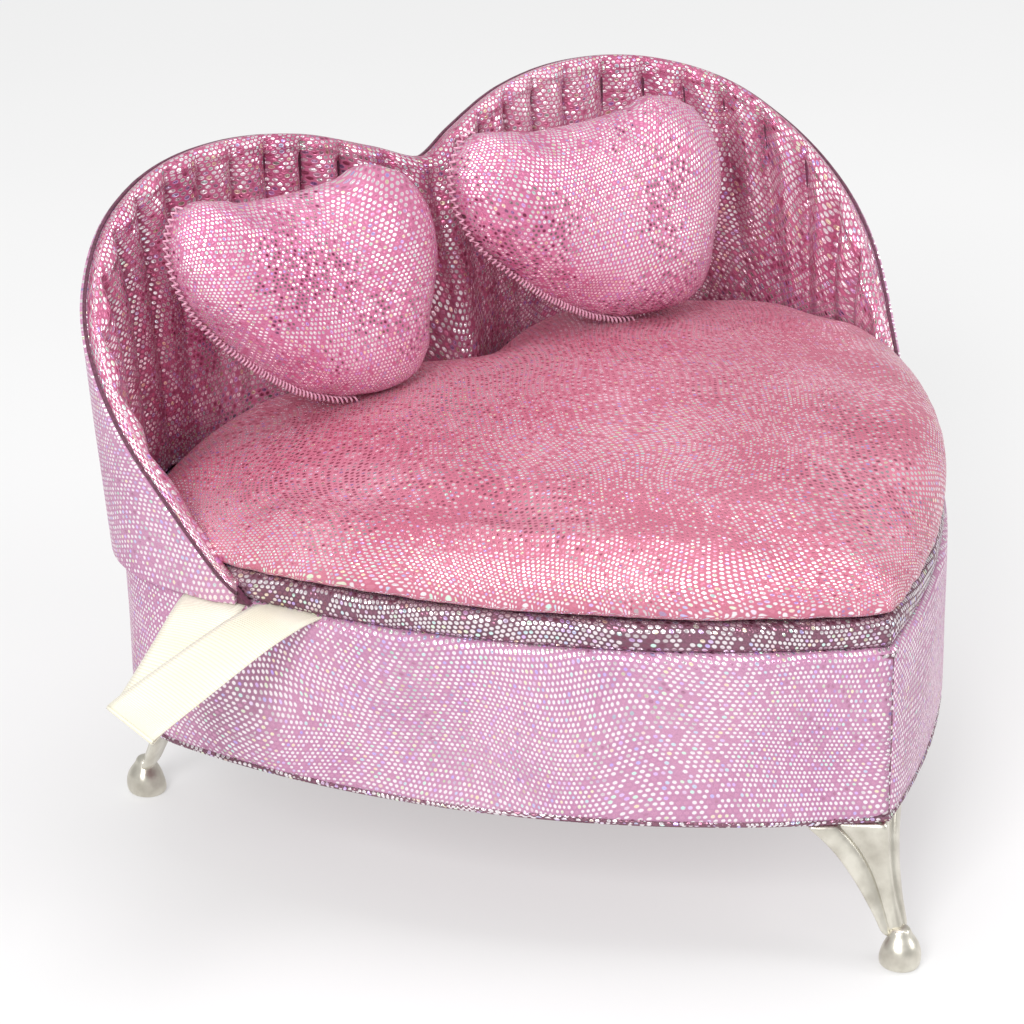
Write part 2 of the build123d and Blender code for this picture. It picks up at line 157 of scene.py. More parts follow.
def length_at(x, y):
    """Length along the outline, and distance outside it, of the nearest outline point."""
    place = Vector((abs(x), y))
    start = 0.0
    best = None
    for (centre, radius), ends, length in zip(CIRCLES, arc_ends(0), ARC_LENGTHS):
        angle = bearing(centre, place)
        share = (ends[0] - angle) / (ends[0] - ends[1])
        held = min(1.0, max(0.0, share))
        off = centre + radius * Vector((math.cos(ends[0] - held * (ends[0] - ends[1])),
                                        math.sin(ends[0] - held * (ends[0] - ends[1]))))
        away = (place - off).length
        if best is None or away < best[0]:
            outside = (place - centre).length - radius
            best = (away, start + held * length, math.copysign(away, outside))
        start += length
    return math.copysign(best[1], x if x else 1), best[2]


def ripple(x, y, z):
    """Random swell between -1 and 1, the same on every run."""
    return noise.noise(Vector((x, y, z)))


def smooth(value):
    value = min(1.0, max(0.0, value))
    return value * value * (3 - 2 * value)


def through(points, x):
    """Smooth curve through a few points."""
    for number in range(len(points) - 1):
        if x <= points[number + 1][0]:
            break
    x0, y0 = points[number]
    x1, y1 = points[number + 1]
    before = points[number - 1] if number else (2 * x0 - x1, y1)
    after = points[number + 2] if number + 2 < len(points) else (2 * x1 - x0, 2 * y1 - y0)
    first = (y1 - before[1]) / (x1 - before[0])
    last = (after[1] - y0) / (after[0] - x0)
    width = x1 - x0
    t = min(1.0, max(0.0, (x - x0) / width))
    return (
        (2 * t**3 - 3 * t**2 + 1) * y0 + (t**3 - 2 * t**2 + t) * width * first
        + (3 * t**2 - 2 * t**3) * y1 + (t**3 - t**2) * width * last)


def curve_point(a, b, c, d, t):
    """Point on the smooth curve from b to c, where a and d are the neighbours."""
    return 0.5 * (2 * b + (c - a) * t + (2 * a - 5 * b + 4 * c - d) * t**2 + (3 * b - a - 3 * c + d) * t**3)


def rise(s):
    """Height of the backrest's edge above the seam."""
    return through(RISES, min(abs(s), ARM_END))


# mesh helpers ---------------------------------------------------------------

def piece(name, bm, material, crisp=False):
    """Turns a bmesh into an object at the origin, smooth, with its material."""
    mesh = bpy.data.meshes.new(name)
    bm.to_mesh(mesh)
    bm.free()
    if not crisp:
        mesh.shade_smooth()
    mesh.materials.append(material)
    obj = bpy.data.objects.new(name, mesh)
    bpy.context.collection.objects.link(obj)
    return obj


def ruled_grid(columns, rows):
    """Flat grid whose x and y run from 0 to 1, with a UV map."""
    bm = bmesh.new()
    bm.loops.layers.uv.new("UVMap")
    bmesh.ops.create_grid(bm, x_segments=columns, y_segments=rows, size=0.5, calc_uvs=True)
    span = [max(v.co[i] for v in bm.verts) - min(v.co[i] for v in bm.verts) for i in (0, 1)]
    for v in bm.verts:
        v.co.x = v.co.x / span[0] + 0.5
        v.co.y = v.co.y / span[1] + 0.5
    return bm


def form(bm, place):
    """Carries every grid point (u, t) to place(u, t), which gives the point and its cloth position."""
    layer = bm.loops.layers.uv.verify()
    cloth = {}
    for v in bm.verts:
        v.co, cloth[v] = place(v.co.x, v.co.y)
    for face in bm.faces:
        for loop in face.loops:
            loop[layer].uv = cloth[loop.vert]


def add_modifier(obj, kind, **settings):
    modifier = obj.modifiers.new(kind.title(), kind)
    for key, value in settings.items():
        setattr(modifier, key, value)
    return modifier


def rounded(obj, levels=1):
    add_modifier(obj, "SUBSURF", levels=levels, render_levels=levels)


def thicken(obj, thickness, offset=-1.0):
    add_modifier(obj, "SOLIDIFY", thickness=thickness, offset=offset, use_even_offset=True)


def facing_out(bm):
    """Turns an open sheet so that its faces look away from the heart's middle."""
    bmesh.ops.recalc_face_normals(bm, faces=bm.faces[:])
    bm.normal_update()
    total = 0.0
    for face in bm.faces:
        middle = face.calc_center_median()
        total += face.normal.dot(Vector((middle.x, middle.y, 0)))
    if total < 0:
        bmesh.ops.reverse_faces(bm, faces=bm.faces[:])


def close_up(bm, merge=1e-6, sides=0):
    """Joins meeting edges, caps openings of up to so many sides, and turns the faces outwards."""
    bmesh.ops.remove_doubles(bm, verts=bm.verts[:], dist=merge)
    if sides:
        bmesh.ops.holes_fill(bm, edges=bm.edges[:], sides=sides)
    bmesh.ops.recalc_face_normals(bm, faces=bm.faces[:])


def turned(line, centre, axis, steps):
    """Closed form, turned from an outline like a spindle."""
    bm = bmesh.new()
    verts = [bm.verts.new(point) for point in line]
    edges = [bm.edges.new(pair) for pair in zip(verts, verts[1:])]
    bmesh.ops.spin(bm, geom=verts + edges, cent=centre, axis=axis, angle=2 * math.pi, steps=steps,
                   use_merge=True)
    close_up(bm, sides=40)
    return bm


def shaped(name, material, columns, rows, place, finish=None):
    """Piece made from a flat grid that place() carries to its shape."""
    bm = ruled_grid(columns, rows)
    form(bm, place)
    if finish:
        finish(bm)
    return piece(name, bm, material)


def settle(obj, body, replaced=None):
    """Hides the part the piece replaces, if any, and attaches the piece to the body it rides."""
    if replaced:
        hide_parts(replaced)
    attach(obj, body)


def soften(bm, verts, rounds, level=False):
    """Evens out the points, without changing their height if level."""
    for _ in range(rounds):
        bmesh.ops.smooth_vert(
            bm, verts=verts, factor=0.5, use_axis_x=True, use_axis_y=True, use_axis_z=not level)


def merged(bm):
    bmesh.ops.remove_doubles(bm, verts=bm.verts[:], dist=1e-5)


def one_way(bm):
    bmesh.ops.recalc_face_normals(bm, faces=bm.faces[:])


def heart_edge(bm, grow, z, step=0.004):
    """Closed heart outline: one vertex is spun arc by arc to the tip, then mirrored."""
    start, _ = spot(0, grow)
    vert = bm.verts.new((0, start.y, z))
    made = [vert]
    for (centre, radius), (first, last) in zip(CIRCLES, arc_ends(grow)):
        steps = max(3, round(radius * (first - last) / step))
        before = set(bm.verts)
        result = bmesh.ops.spin(
            bm, geom=[vert], cent=(centre.x, centre.y, z), axis=(0, 0, 1),
            angle=last - first, steps=steps, use_merge=False)
        vert = [item for item in result["geom_last"] if isinstance(item, bmesh.types.BMVert)][0]
        made += [item for item in bm.verts if item not in before]
    vert.co.x = 0
    edges = list({edge for item in made for edge in item.link_edges})
    bmesh.ops.mirror(bm, geom=made + edges, axis="X", merge_dist=1e-6)


def heart_slab(grow, low, high, edge_round=0.0, step=0.004, segments=4):
    """Closed heart plate with rounded edges."""
    bm = bmesh.new()
    heart_edge(bm, grow, low, step)
    bmesh.ops.remove_doubles(bm, verts=bm.verts[:], dist=1e-6)
    face = bmesh.ops.contextual_create(bm, geom=bm.edges[:])["faces"]
    lifted = bmesh.ops.extrude_face_region(bm, geom=face)
    top = [item for item in lifted["geom"] if isinstance(item, bmesh.types.BMVert)]
    bmesh.ops.translate(bm, verts=top, vec=(0, 0, high - low))
    bmesh.ops.recalc_face_normals(bm, faces=bm.faces[:])
    if edge_round:
        rims = [e for e in bm.edges if abs(e.verts[0].co.z - e.verts[1].co.z) < 1e-6]
        bmesh.ops.bevel(
            bm, geom=rims, offset=edge_round, segments=segments, profile=0.5,
            affect="EDGES", material=-1)
    return bm


def flat_cloth(obj, turn=0.0):
    """Lays the cloth over a slab: flat on top, folded down along its sides."""
    mesh = obj.data
    layer = mesh.uv_layers.get("UVMap") or mesh.uv_layers.new(name="UVMap")
    low = min(v.co.z for v in mesh.vertices)
    high = max(v.co.z for v in mesh.vertices)
    middle = (low + high) / 2
    cosine, sine = math.cos(turn), math.sin(turn)
    for loop in mesh.loops:
        vertex = mesh.vertices[loop.vertex_index]
        out = Vector((vertex.normal.x, vertex.normal.y))
        fall = (high - vertex.co.z) if vertex.co.z > middle else (vertex.co.z - low)
        x = vertex.co.x + out.x * fall * 2
        y = vertex.co.y + out.y * fall * 2
        layer.data[loop.index].uv = (x * cosine - y * sine, x * sine + y * cosine)


# finishes -------------------------------------------------------------------

FLAT = {"noise_dimensions": "2D"}
BLACK, WHITE = (0, 0, 0), (1, 1, 1)
ROW_STEP = 0.866            # rows of dots lie this share of a pitch apart
DOT_BLUR = 0.085            # softness of a dot's edge, in pitches
# painted dark reflection: the near-black colour given to foil dots in the dark zones
DARK_REFLECTION_DOT = (0.11, 0.006, 0.03, 1)
RIB_PITCH = 0.00062
LILAC_GLINT, GOLD_GLINT = (0.78, 0.52, 0.98), (0.99, 0.86, 0.62)
GREEN_GLINT, VIOLET_GLINT = (0.70, 0.98, 0.86), (0.62, 0.45, 0.96)


def solid(colour, share=1.0):
    return (*[value * share for value in colour], 1)


class Finish:
    """A material being mixed, and the shader that its nodes feed."""

    def __init__(self, name):
        self.material = bpy.data.materials.new(name)
        self.material.use_nodes = True
        self.tree = self.material.node_tree
        self.tree.nodes.clear()
        output = self.tree.nodes.new("ShaderNodeOutputMaterial")
        self.shader = self.tree.nodes.new("ShaderNodeBsdfPrincipled")
        self.tree.links.new(self.shader.outputs[0], output.inputs[0])

    def put(self, socket, value):
        """Links a value that comes from a node, or sets a plain one."""
        if isinstance(value, bpy.types.NodeSocket):
            self.tree.links.new(value, socket)
        else:
            socket.default_value = value

    def feed(self, inputs):
        for key, value in inputs.items():
            self.put(self.shader.inputs[key], value)

    def node(self, kind, settings=None, values=(), **inputs):
        made = self.tree.nodes.new("ShaderNode" + kind)
        for key, value in (settings or {}).items():
            setattr(made, key, value)
        for key, value in [*enumerate(values), *inputs.items()]:
            self.put(made.inputs[key], value)
        return made

    def place(self):
        return self.node("TexCoord").outputs["Object"]

    def cloth(self):
        return self.node("UVMap", {"uv_map": "UVMap"}).outputs[0]

    def maths(self, operation, *values):
        return self.node("Math", {"operation": operation}, values).outputs[0]

    def plus(self, first, second):
        return self.maths("ADD", first, second)

    def minus(self, first, second):
        return self.maths("SUBTRACT", first, second)

    def times(self, first, second):
        return self.maths("MULTIPLY", first, second)

    def blended(self, share, first, second):
        made = self.node("Mix", {"data_type": "RGBA"})
        for number, value in ((0, share), (6, first), (7, second)):
            self.put(made.inputs[number], value)
        return made.outputs[2]

    def ramp(self, value, *stops):
        made = self.node("ValToRGB", Fac=value)
        elements = made.color_ramp.elements
        while len(elements) < len(stops):
            elements.new(0.5)
        for element, (position, colour) in zip(elements, stops):
            element.position = position
            element.color = solid(colour)
        return made.outputs[0]

    def band(self, value, low, high):
        """0 under low, 1 over high, smooth between."""
        return self.node("MapRange", {"interpolation_type": "SMOOTHSTEP"}, (value, low, high)).outputs[0]

    def grain(self, vector, scale, detail=2.0, settings=None):
        return self.node("TexNoise", settings, Vector=vector, Scale=scale, Detail=detail).outputs[0]

    def relief(self, strength, distance, height):
        bump = self.node("Bump", Strength=strength, Distance=distance, Height=height)
        self.feed({"Normal": bump.outputs[0]})


def foil_knit(name, ground, deep, dot_size=0.34, dark_reflection_share=0.5, dark_reflection_level=0.62, foil=(0.98, 0.90, 0.94),
              white_share=(0.55, 0.95), bright_below=None, zone_scale=26.0, swirl=0.0042, bump=0.3):
    """Knit printed with rows of round mirror dots that sweep in arcs over the cloth, with zones of painted
    dark reflection on the dots.
    """
    look = Finish(name)
    place, cloth = look.place(), look.cloth()
    plus, minus, times = look.plus, look.minus, look.times
    warp = look.node("TexNoise", FLAT, Vector=cloth, Scale=17.0, Detail=1.0).outputs[1]
    sweep = (swirl * 5, swirl * 5, 0)
    shift = look.node("VectorMath", {"operation": "MULTIPLY_ADD"}, (warp, sweep, cloth)).outputs[0]
    apart = look.node("SeparateXYZ", values=(shift,)).outputs
    # staggered rows of cells, one dot to a cell
    rows = look.maths("DIVIDE", apart[1], FOIL_PITCH * ROW_STEP)
    row = look.maths("FLOOR", rows)
    stagger = times(look.maths("PINGPONG", row, 1.0), 0.5)
    columns = plus(look.maths("DIVIDE", apart[0], FOIL_PITCH), stagger)
    column = look.maths("FLOOR", columns)
    cell = look.node("CombineXYZ", values=(column, row)).outputs[0]
    chance = look.node("TexWhiteNoise", FLAT, Vector=cell).outputs
    luck = look.node("SeparateColor", values=(chance[1],)).outputs
    across = minus(minus(columns, column), 0.5)
    along = times(minus(minus(rows, row), 0.5), ROW_STEP)
    jog = times(minus(luck[0], 0.5), 0.16)
    squares = [look.maths("POWER", way, 2.0) for way in (plus(across, jog), along)]
    distance = look.maths("SQRT", plus(*squares))
    size = look.maths("MULTIPLY_ADD", luck[1], 0.07, dot_size - 0.05)
    dot = minus(1.0, look.band(minus(distance, size), -DOT_BLUR, DOT_BLUR))
    # broad zones of painted dark reflection: the dots' colour is painted near black where the foil would
    # mirror dark surroundings, so they look like pinholes
    zone = look.grain(place, zone_scale, 2.5)
    # zones of painted dark reflection, from noise plus a little per-dot chance
    turned = plus(zone, times(minus(chance[0], 0.5), 0.28))
    dark = times(look.band(turned, dark_reflection_level, dark_reflection_level + 0.05), dark_reflection_share)
    hue = look.ramp(luck[2], (0.0, foil), (0.72, foil), (0.80, LILAC_GLINT), (0.88, GOLD_GLINT),
                    (0.94, GREEN_GLINT), (1.0, VIOLET_GLINT))
    limit = look.node("MapRange", values=(look.grain(place, 19.0), 0.35, 0.65, *white_share)).outputs[0]
    if bright_below:
        level = look.node("SeparateXYZ", values=(place,)).outputs[2]
        low_down = minus(1.0, look.band(level, bright_below - 0.004, bright_below + 0.001))
        limit = look.maths("MAXIMUM", limit, times(low_down, 0.92))
    white = look.maths("LESS_THAN", luck[1], limit)
    tinted = (*[min(1.0, value * 1.12) for value in ground], 1)
    # dots in the dark zones take the painted dark reflection colour
    glint = look.blended(dark, look.blended(white, tinted, hue), DARK_REFLECTION_DOT)
    ground_colour = look.ramp(look.grain(place, 42.0, 3.0), (0.32, deep), (0.68, ground))
    threads = look.grain(cloth, 2600.0, 1.0, FLAT)
    knit = look.blended(times(threads, 0.5), ground_colour, solid(deep, 0.62))
    polish = look.maths("MULTIPLY_ADD", luck[1], 0.16, 0.14)
    # each dot is a low dome, tipped its own way
    tip = plus(times(across, minus(luck[0], 0.5)), times(along, minus(luck[2], 0.5)))
    dome = times(dot, plus(times(distance, -0.5), times(tip, 1.6)))
    look.feed({
        "Base Color": look.blended(dot, knit, glint),
        "Metallic": times(dot, 0.86),
        "Roughness": plus(times(dot, polish), times(minus(1.0, dot), 0.50)),
        "Specular IOR Level": 0.3,
    })
    look.relief(bump, 0.0012, plus(dome, times(threads, 0.12)))
    return look.material


def worn_metal(name, colour, dull, roughness=0.3, brush=1260.0):
    """Satin casting with fine brush marks and slightly duller patches."""
    look = Finish(name)
    place = look.place()
    drawn = look.node("Mapping", Vector=place, Scale=(1.0, 1.0, 0.06)).outputs[0]
    marks = look.grain(drawn, brush, 3.0)
    clouds = look.grain(place, 160.0, 4.0)
    dulled = look.ramp(clouds, (0.35, BLACK), (0.75, WHITE))
    look.feed({
        "Base Color": look.blended(dulled, solid(colour), solid(dull)),
        "Metallic": 1.0,
        "Roughness": look.maths("MULTIPLY_ADD", marks, 0.22, roughness - 0.08),
    })
    look.relief(0.18, 0.0002, look.plus(marks, clouds))
    return look.material


def velvet(name, colour, shadow):
    """Short pile with a soft brushed nap."""
    look = Finish(name)
    place = look.place()
    nap = look.grain(place, 55.0, 4.0)
    pile = look.grain(place, 2800.0)
    base = look.ramp(nap, (0.3, shadow), (0.72, colour))
    look.feed({
        "Base Color": look.blended(look.times(pile, 0.4), base, solid(shadow)),
        "Roughness": 0.9, "Sheen Weight": 0.7, "Sheen Roughness": 0.35,
    })
    look.relief(0.5, 0.0004, look.plus(pile, nap))
    return look.material


def pressed_board(name):
    """Grey board with flecks of fibre."""
    look = Finish(name)
    fibre = look.grain(look.place(), 900.0, 5.0)
    flecks = look.ramp(fibre, (0.3, (0.30, 0.27, 0.23)), (0.5, (0.50, 0.46, 0.40)),
                       (0.75, (0.60, 0.57, 0.50)))
    look.feed({"Base Color": flecks, "Roughness": 0.92})
    look.relief(0.4, 0.0002, fibre)
    return look.material


def ribbed_ribbon(name):
    """Ivory grosgrain: fine ribs across the ribbon, with painted shade in the rib valleys."""
    look = Finish(name)
    cloth = look.cloth()
    along = look.node("SeparateXYZ", values=(cloth,)).outputs[1]
    rib = look.maths("SINE", look.times(along, 2 * math.pi / RIB_PITCH))
    thread = look.grain(cloth, 1900.0, 2.0, FLAT)
    blotch = look.grain(cloth, 60.0, 2.0, FLAT)
    ivory = look.ramp(blotch, (0.3, (0.83, 0.79, 0.64)), (0.7, (0.90, 0.87, 0.75)))
    # painted shade: the colour darkens in the valleys between the ribs
    painted_rib_shade = look.times(look.band(rib, -0.2, -0.9), 0.6)
    look.feed({
        "Base Color": look.blended(painted_rib_shade, ivory, (0.66, 0.60, 0.43, 1)),
        "Roughness": 0.62, "Sheen Weight": 0.3, "Sheen Roughness": 0.5,
    })
    look.relief(0.35, 0.00018, look.plus(rib, look.times(thread, 0.7)))
    return look.material


def thread_finish(name, colour, dark):
    """Twisted sewing thread or dull binding."""
    look = Finish(name)
    twist = look.grain(look.place(), 1500.0)
    look.feed({
        "Base Color": look.ramp(twist, (0.3, dark), (0.7, colour)),
        "Roughness": 0.6, "Sheen Weight": 0.25,
    })
    look.relief(0.4, 0.0002, twist)
    return look.material


def silvered_glass(name):
    look = Finish(name)
    haze = look.grain(look.place(), 70.0, 3.0)
    look.feed({
        "Base Color": look.ramp(haze, (0.3, (0.80, 0.82, 0.84)), (0.7, (0.88, 0.90, 0.92))),
        "Metallic": 1.0,
        "Roughness": look.maths("MULTIPLY_ADD", haze, 0.04, 0.01),
    })
    return look.material


LILAC = foil_knit("lilac_foil_knit", (0.60, 0.31, 0.46), (0.50, 0.22, 0.38), dot_size=0.31, dark_reflection_share=0.3,
                  dark_reflection_level=0.60, white_share=(0.75, 1.0))
ROSE = foil_knit("rose_foil_knit", (0.64, 0.23, 0.32), (0.54, 0.13, 0.21), dot_size=0.30, dark_reflection_share=0.5,
                 dark_reflection_level=0.61, white_share=(0.30, 0.85), bright_below=0.1010)
ROSE_SILVER = foil_knit("rose_silver_foil_knit", (0.58, 0.18, 0.30), (0.40, 0.07, 0.17), dot_size=0.35,
                        dark_reflection_share=0.5, dark_reflection_level=0.60, zone_scale=34.0, white_share=(0.7, 1.0))
PILLOW_KNIT = foil_knit("pillow_foil_knit", (0.64, 0.22, 0.37), (0.54, 0.14, 0.28), dot_size=0.32,
                        dark_reflection_share=0.8, dark_reflection_level=0.61, zone_scale=26.0, white_share=(0.75, 1.0))
BAND_KNIT = foil_knit("grey_band_foil_knit", (0.26, 0.12, 0.17), (0.13, 0.05, 0.08), dot_size=0.36,
                      dark_reflection_share=0.3, dark_reflection_level=0.62, foil=(0.88, 0.82, 0.85))
CRIMSON = foil_knit("crimson_foil_knit", (0.22, 0.03, 0.07), (0.13, 0.012, 0.035), dot_size=0.30,
                    dark_reflection_share=0.4, dark_reflection_level=0.5, foil=(0.55, 0.32, 0.40), white_share=(0.3, 0.6))
# dark plum binding, also put on the back's inner board as painted seam shade
BINDING_AND_SEAM_SHADE = thread_finish("plum_binding_and_seam_shade", (0.16, 0.03, 0.08), (0.05, 0.008, 0.02))
PINK_THREAD = thread_finish("pink_thread", (0.85, 0.50, 0.62), (0.62, 0.24, 0.38))
LINING = velvet("pink_velvet", (0.78, 0.40, 0.54), (0.56, 0.20, 0.34))
BOARD = pressed_board("grey_board")
PEWTER = worn_metal("satin_pewter", (0.80, 0.77, 0.68), (0.50, 0.47, 0.40), 0.33)
NICKEL = worn_metal("brushed_nickel", (0.74, 0.72, 0.68), (0.55, 0.52, 0.48), 0.28)
STEEL = worn_metal("plated_steel", (0.66, 0.65, 0.63), (0.42, 0.41, 0.40), 0.34)
RIBBON = ribbed_ribbon("ivory_grosgrain")
MIRROR = silvered_glass("silvered_glass")


# box ------------------------------------------------------------------------

def wall_fabric():
    """Knit over the wall: up the outside, over the rounded rim and a little way down inside."""
    face_low = BASE_Z + 0.0012
    turn = 0.0017
    over = 0.0018

    def place(u, t):
        s = (2 * u - 1) * HALF_LENGTH
        outside = RIM_Z - over - face_low
        reach = t * (outside + over * math.pi + 0.004)
        grow, z = 0.0, face_low + reach
        if reach > outside:
            angle = min(math.pi, (reach - outside) / over)
            grow = -over * (1 - math.cos(angle))
            z = RIM_Z - over + over * math.sin(angle)
            z -= max(0.0, reach - outside - over * math.pi)
        tuck = turn * smooth(1 - reach / 0.0022) * 0.35
        ease = 0.00016 * ripple(s * 60, z * 60, 3)
        tip = smooth(1 - (HALF_LENGTH - abs(s)) / 0.004)
        return at(s, grow - tuck + ease - tip * 0.0003, z), (s, z if reach < outside else face_low + reach)

    obj = shaped("wall_fabric", LILAC, 230, 40, place, merged)
    thicken(obj, 0.0005)
    settle(obj, "box", "wall_cover")


def tip_seam():
    """Turned seam down the front edge, where the knit shows its grey side."""
    half = 0.0042

    def place(u, t):
        reach = (2 * u - 1) * half
        s = math.copysign(HALF_LENGTH - abs(reach), reach)
        z = BASE_Z + 0.0018 + t * (RIM_Z - BASE_Z - 0.0024)
        fade = smooth((half - abs(reach)) / 0.0008)
        return at(s, 0.0003 * fade - 0.0001 + 0.0001 * ripple(reach * 300, z * 120, 4), z), (reach, z)

    obj = shaped("front_edge_seam", BAND_KNIT, 24, 40, place, facing_out)
    thicken(obj, 0.0004)
    settle(obj, "box")


def base_fabric():
    """Knit under the base, turned up round the board as a puckered hem."""
    bm = heart_slab(-0.0004, BASE_Z, BASE_Z + 0.0017, 0.0007, step=0.0022)
    for v in bm.verts:
        s, outside = length_at(v.co.x, v.co.y)
        if outside > -0.004:
            pucker = 0.0002 * math.sin(s * 2 * math.pi / 0.0034) + 0.0003 * ripple(s * 200, 0, 7)
            away = Vector((v.co.x, v.co.y, 0)).normalized()
            v.co += away * pucker
            v.co.z += pucker * 0.4
    obj = piece("base_fabric", bm, CRIMSON)
    flat_cloth(obj, 0.4)
    settle(obj, "box", "base_cover")


def hem_cord():
    """Rolled hem along the foot of the wall, in the grey side of the knit."""
    radius = 0.00095

    def place(u, t):
        s = (2 * u - 1) * HALF_LENGTH
        angle = t * 2 * math.pi
        wave = 0.00018 * ripple(s * 260, 1, 5)
        z = BASE_Z + 0.00115 + radius * 0.95 * math.sin(angle) + wave
        return at(s, -0.0005 + radius * math.cos(angle) + wave, z), (s, radius * angle)

    obj = shaped("hem_roll", BAND_KNIT, 300, 9, place, merged)
    settle(obj, "box")


def tip_fold():
    """Gathered corner of the base fabric, folded under between the front leg's wings."""
    bm = bmesh.new()
    bmesh.ops.create_uvsphere(bm, u_segments=28, v_segments=16, radius=1.0)
    layer = bm.loops.layers.uv.verify()
    front, _ = spot(HALF_LENGTH, 0)
    for v in bm.verts:
        x, y, z = v.co
        crease = 0.12 * math.sin(5 * math.atan2(y, x) + 1.3)
        narrow = 1 - 0.55 * smooth((0.3 - y) / 1.3)
        v.co = Vector((
            0.0072 * x * narrow * (1 + crease),
            front.y + 0.0105 + 0.0082 * y * (1 + crease * 0.6),
            BASE_Z + 0.0004 + 0.0030 * z * (1 + 0.2 * crease) * (1.0 - 0.35 * y)))
    for face in bm.faces:
        for loop in face.loops:
            loop[layer].uv = (loop.vert.co.x, loop.vert.co.y + loop.vert.co.z)
    obj = piece("base_corner_fold", bm, CRIMSON)
    settle(obj, "box")


def padded_slab(name, replaced, grow, low, high, edge_round, body, material, step=0.004):
    bm = heart_slab(grow, low, high, edge_round, step)
    obj = piece(name, bm, material)
    flat_cloth(obj)
    settle(obj, body, replaced)
    return obj


def rounded_block(name, replaced, material, round_off):
    """Fabric-covered divider with soft edges, in the place of its board."""
    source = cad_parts[replaced].data
    bm = bmesh.new()
    bm.from_mesh(source)
    bmesh.ops.remove_doubles(bm, verts=bm.verts[:], dist=1e-6)
    bmesh.ops.dissolve_limit(bm, angle_limit=math.radians(4), verts=bm.verts[:], edges=bm.edges[:])
    bmesh.ops.bevel(bm, geom=bm.edges[:], offset=round_off, segments=3, profile=0.5,
                    affect="EDGES", material=-1)
    obj = piece(name, bm, material)
    settle(obj, "box", replaced)
    return obj


def ring_rolls():
    """Velvet rolls with domed, gathered ends."""
    low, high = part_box("ring_rolls")
    gap = 0.0009
    radius = (high.y - low.y - 3 * gap) / 8
    for number in range(4):
        y = low.y + radius + number * (2 * radius + gap)
        centre_z = low.z + radius
        nearest = [v.co.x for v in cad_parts["ring_rolls"].data.vertices if abs(v.co.y - y) < radius]
        start, end = min(nearest), max(nearest)
        profile = [(start, 0.02), (start + 0.0006, 0.55), (start + 0.0022, 0.88), (start + 0.005, 1.0),
                   (end - 0.005, 1.0), (end - 0.0022, 0.88), (end - 0.0006, 0.55), (end, 0.02)]
        line = [(x, y, centre_z + share * (radius - 0.0001)) for x, share in profile]
        bm = turned(line, (0, y, centre_z), (1, 0, 0), 32)
        obj = piece(f"ring_roll_{number + 1}", bm, LINING)
        rounded(obj)
        settle(obj, "box", "ring_rolls")


# legs -----------------------------------------------------------------------

def casting(name, replaced, corner, out_bearing, half_angle):
    """Cabriole leg: two banded wings folded about a ridge, drawn down to an ankle over a hoof."""
    out = Vector((math.cos(out_bearing), math.sin(out_bearing)))
    side_way = Vector((-out.y, out.x))
    # height, reach of the ridge, wing width, groove's place, web's hollow, metal thickness
    rows = [
        (0.0347, 0.0002, 0.0200, 0.0124, 0.0009, 0.0016), (0.0325, 0.0004, 0.0176, 0.0104, 0.0010, 0.0019),
        (0.0295, 0.0008, 0.0146, 0.0080, 0.0010, 0.0022), (0.0260, 0.0013, 0.0120, 0.0060, 0.0009, 0.0025),
        (0.0220, 0.0020, 0.0097, 0.0044, 0.0008, 0.0028), (0.0180, 0.0030, 0.0079, 0.0036, 0.0006, 0.0030),
        (0.0140, 0.0042, 0.0065, 0.0032, 0.0004, 0.0031), (0.0105, 0.0056, 0.0055, 0.0030, 0.0002, 0.0032),
        (0.0072, 0.0068, 0.0051, 0.0029, 0.0001, 0.0034),
    ]
    bm = bmesh.new()
    loops = []
    for height, reach, width, groove, hollow, thick in rows:
        ridge = corner + out * reach
        halves = []
        for side in (1, -1):
            way = side * side_way * math.sin(half_angle) - out * math.cos(half_angle)
            face = side * side_way * math.cos(half_angle) + out * math.sin(half_angle)
            halves.append([
                ridge + way * 0.0007 - face * 0.0001,
                ridge + way * groove * 0.5 - face * hollow * 0.8,
                ridge + way * (groove - 0.0004) - face * hollow,
                ridge + way * groove - face * (hollow + 0.00045),
                ridge + way * (groove + 0.0004) + face * 0.0001,
                ridge + way * (groove + width) * 0.5 + face * 0.0002,
                ridge + way * (width - 0.0004) + face * 0.0002,
                ridge + way * width - face * 0.0004,
                ridge + way * width * 0.97 - face * thick * 0.7,
                ridge + way * groove * 0.9 - face * (thick + hollow),
            ])
        ring = halves[0][::-1] + halves[1]
        verts = [bm.verts.new((p.x, p.y, height)) for p in ring]
        loops.append([bm.edges.new((a, b)) for a, b in zip(verts, verts[1:] + verts[:1])])
    for upper, lower in zip(loops, loops[1:]):
        bmesh.ops.bridge_loops(bm, edges=upper + lower)
    bmesh.ops.holes_fill(bm, edges=bm.edges[:], sides=40)
    bmesh.ops.recalc_face_normals(bm, faces=bm.faces[:])
    obj = piece(name, bm, PEWTER)
    rounded(obj, 2)
    hoof = hoof_piece(name + "_hoof", corner + out * 0.005, out)
    for part in (obj, hoof):
        settle(part, "box")
    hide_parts(replaced)


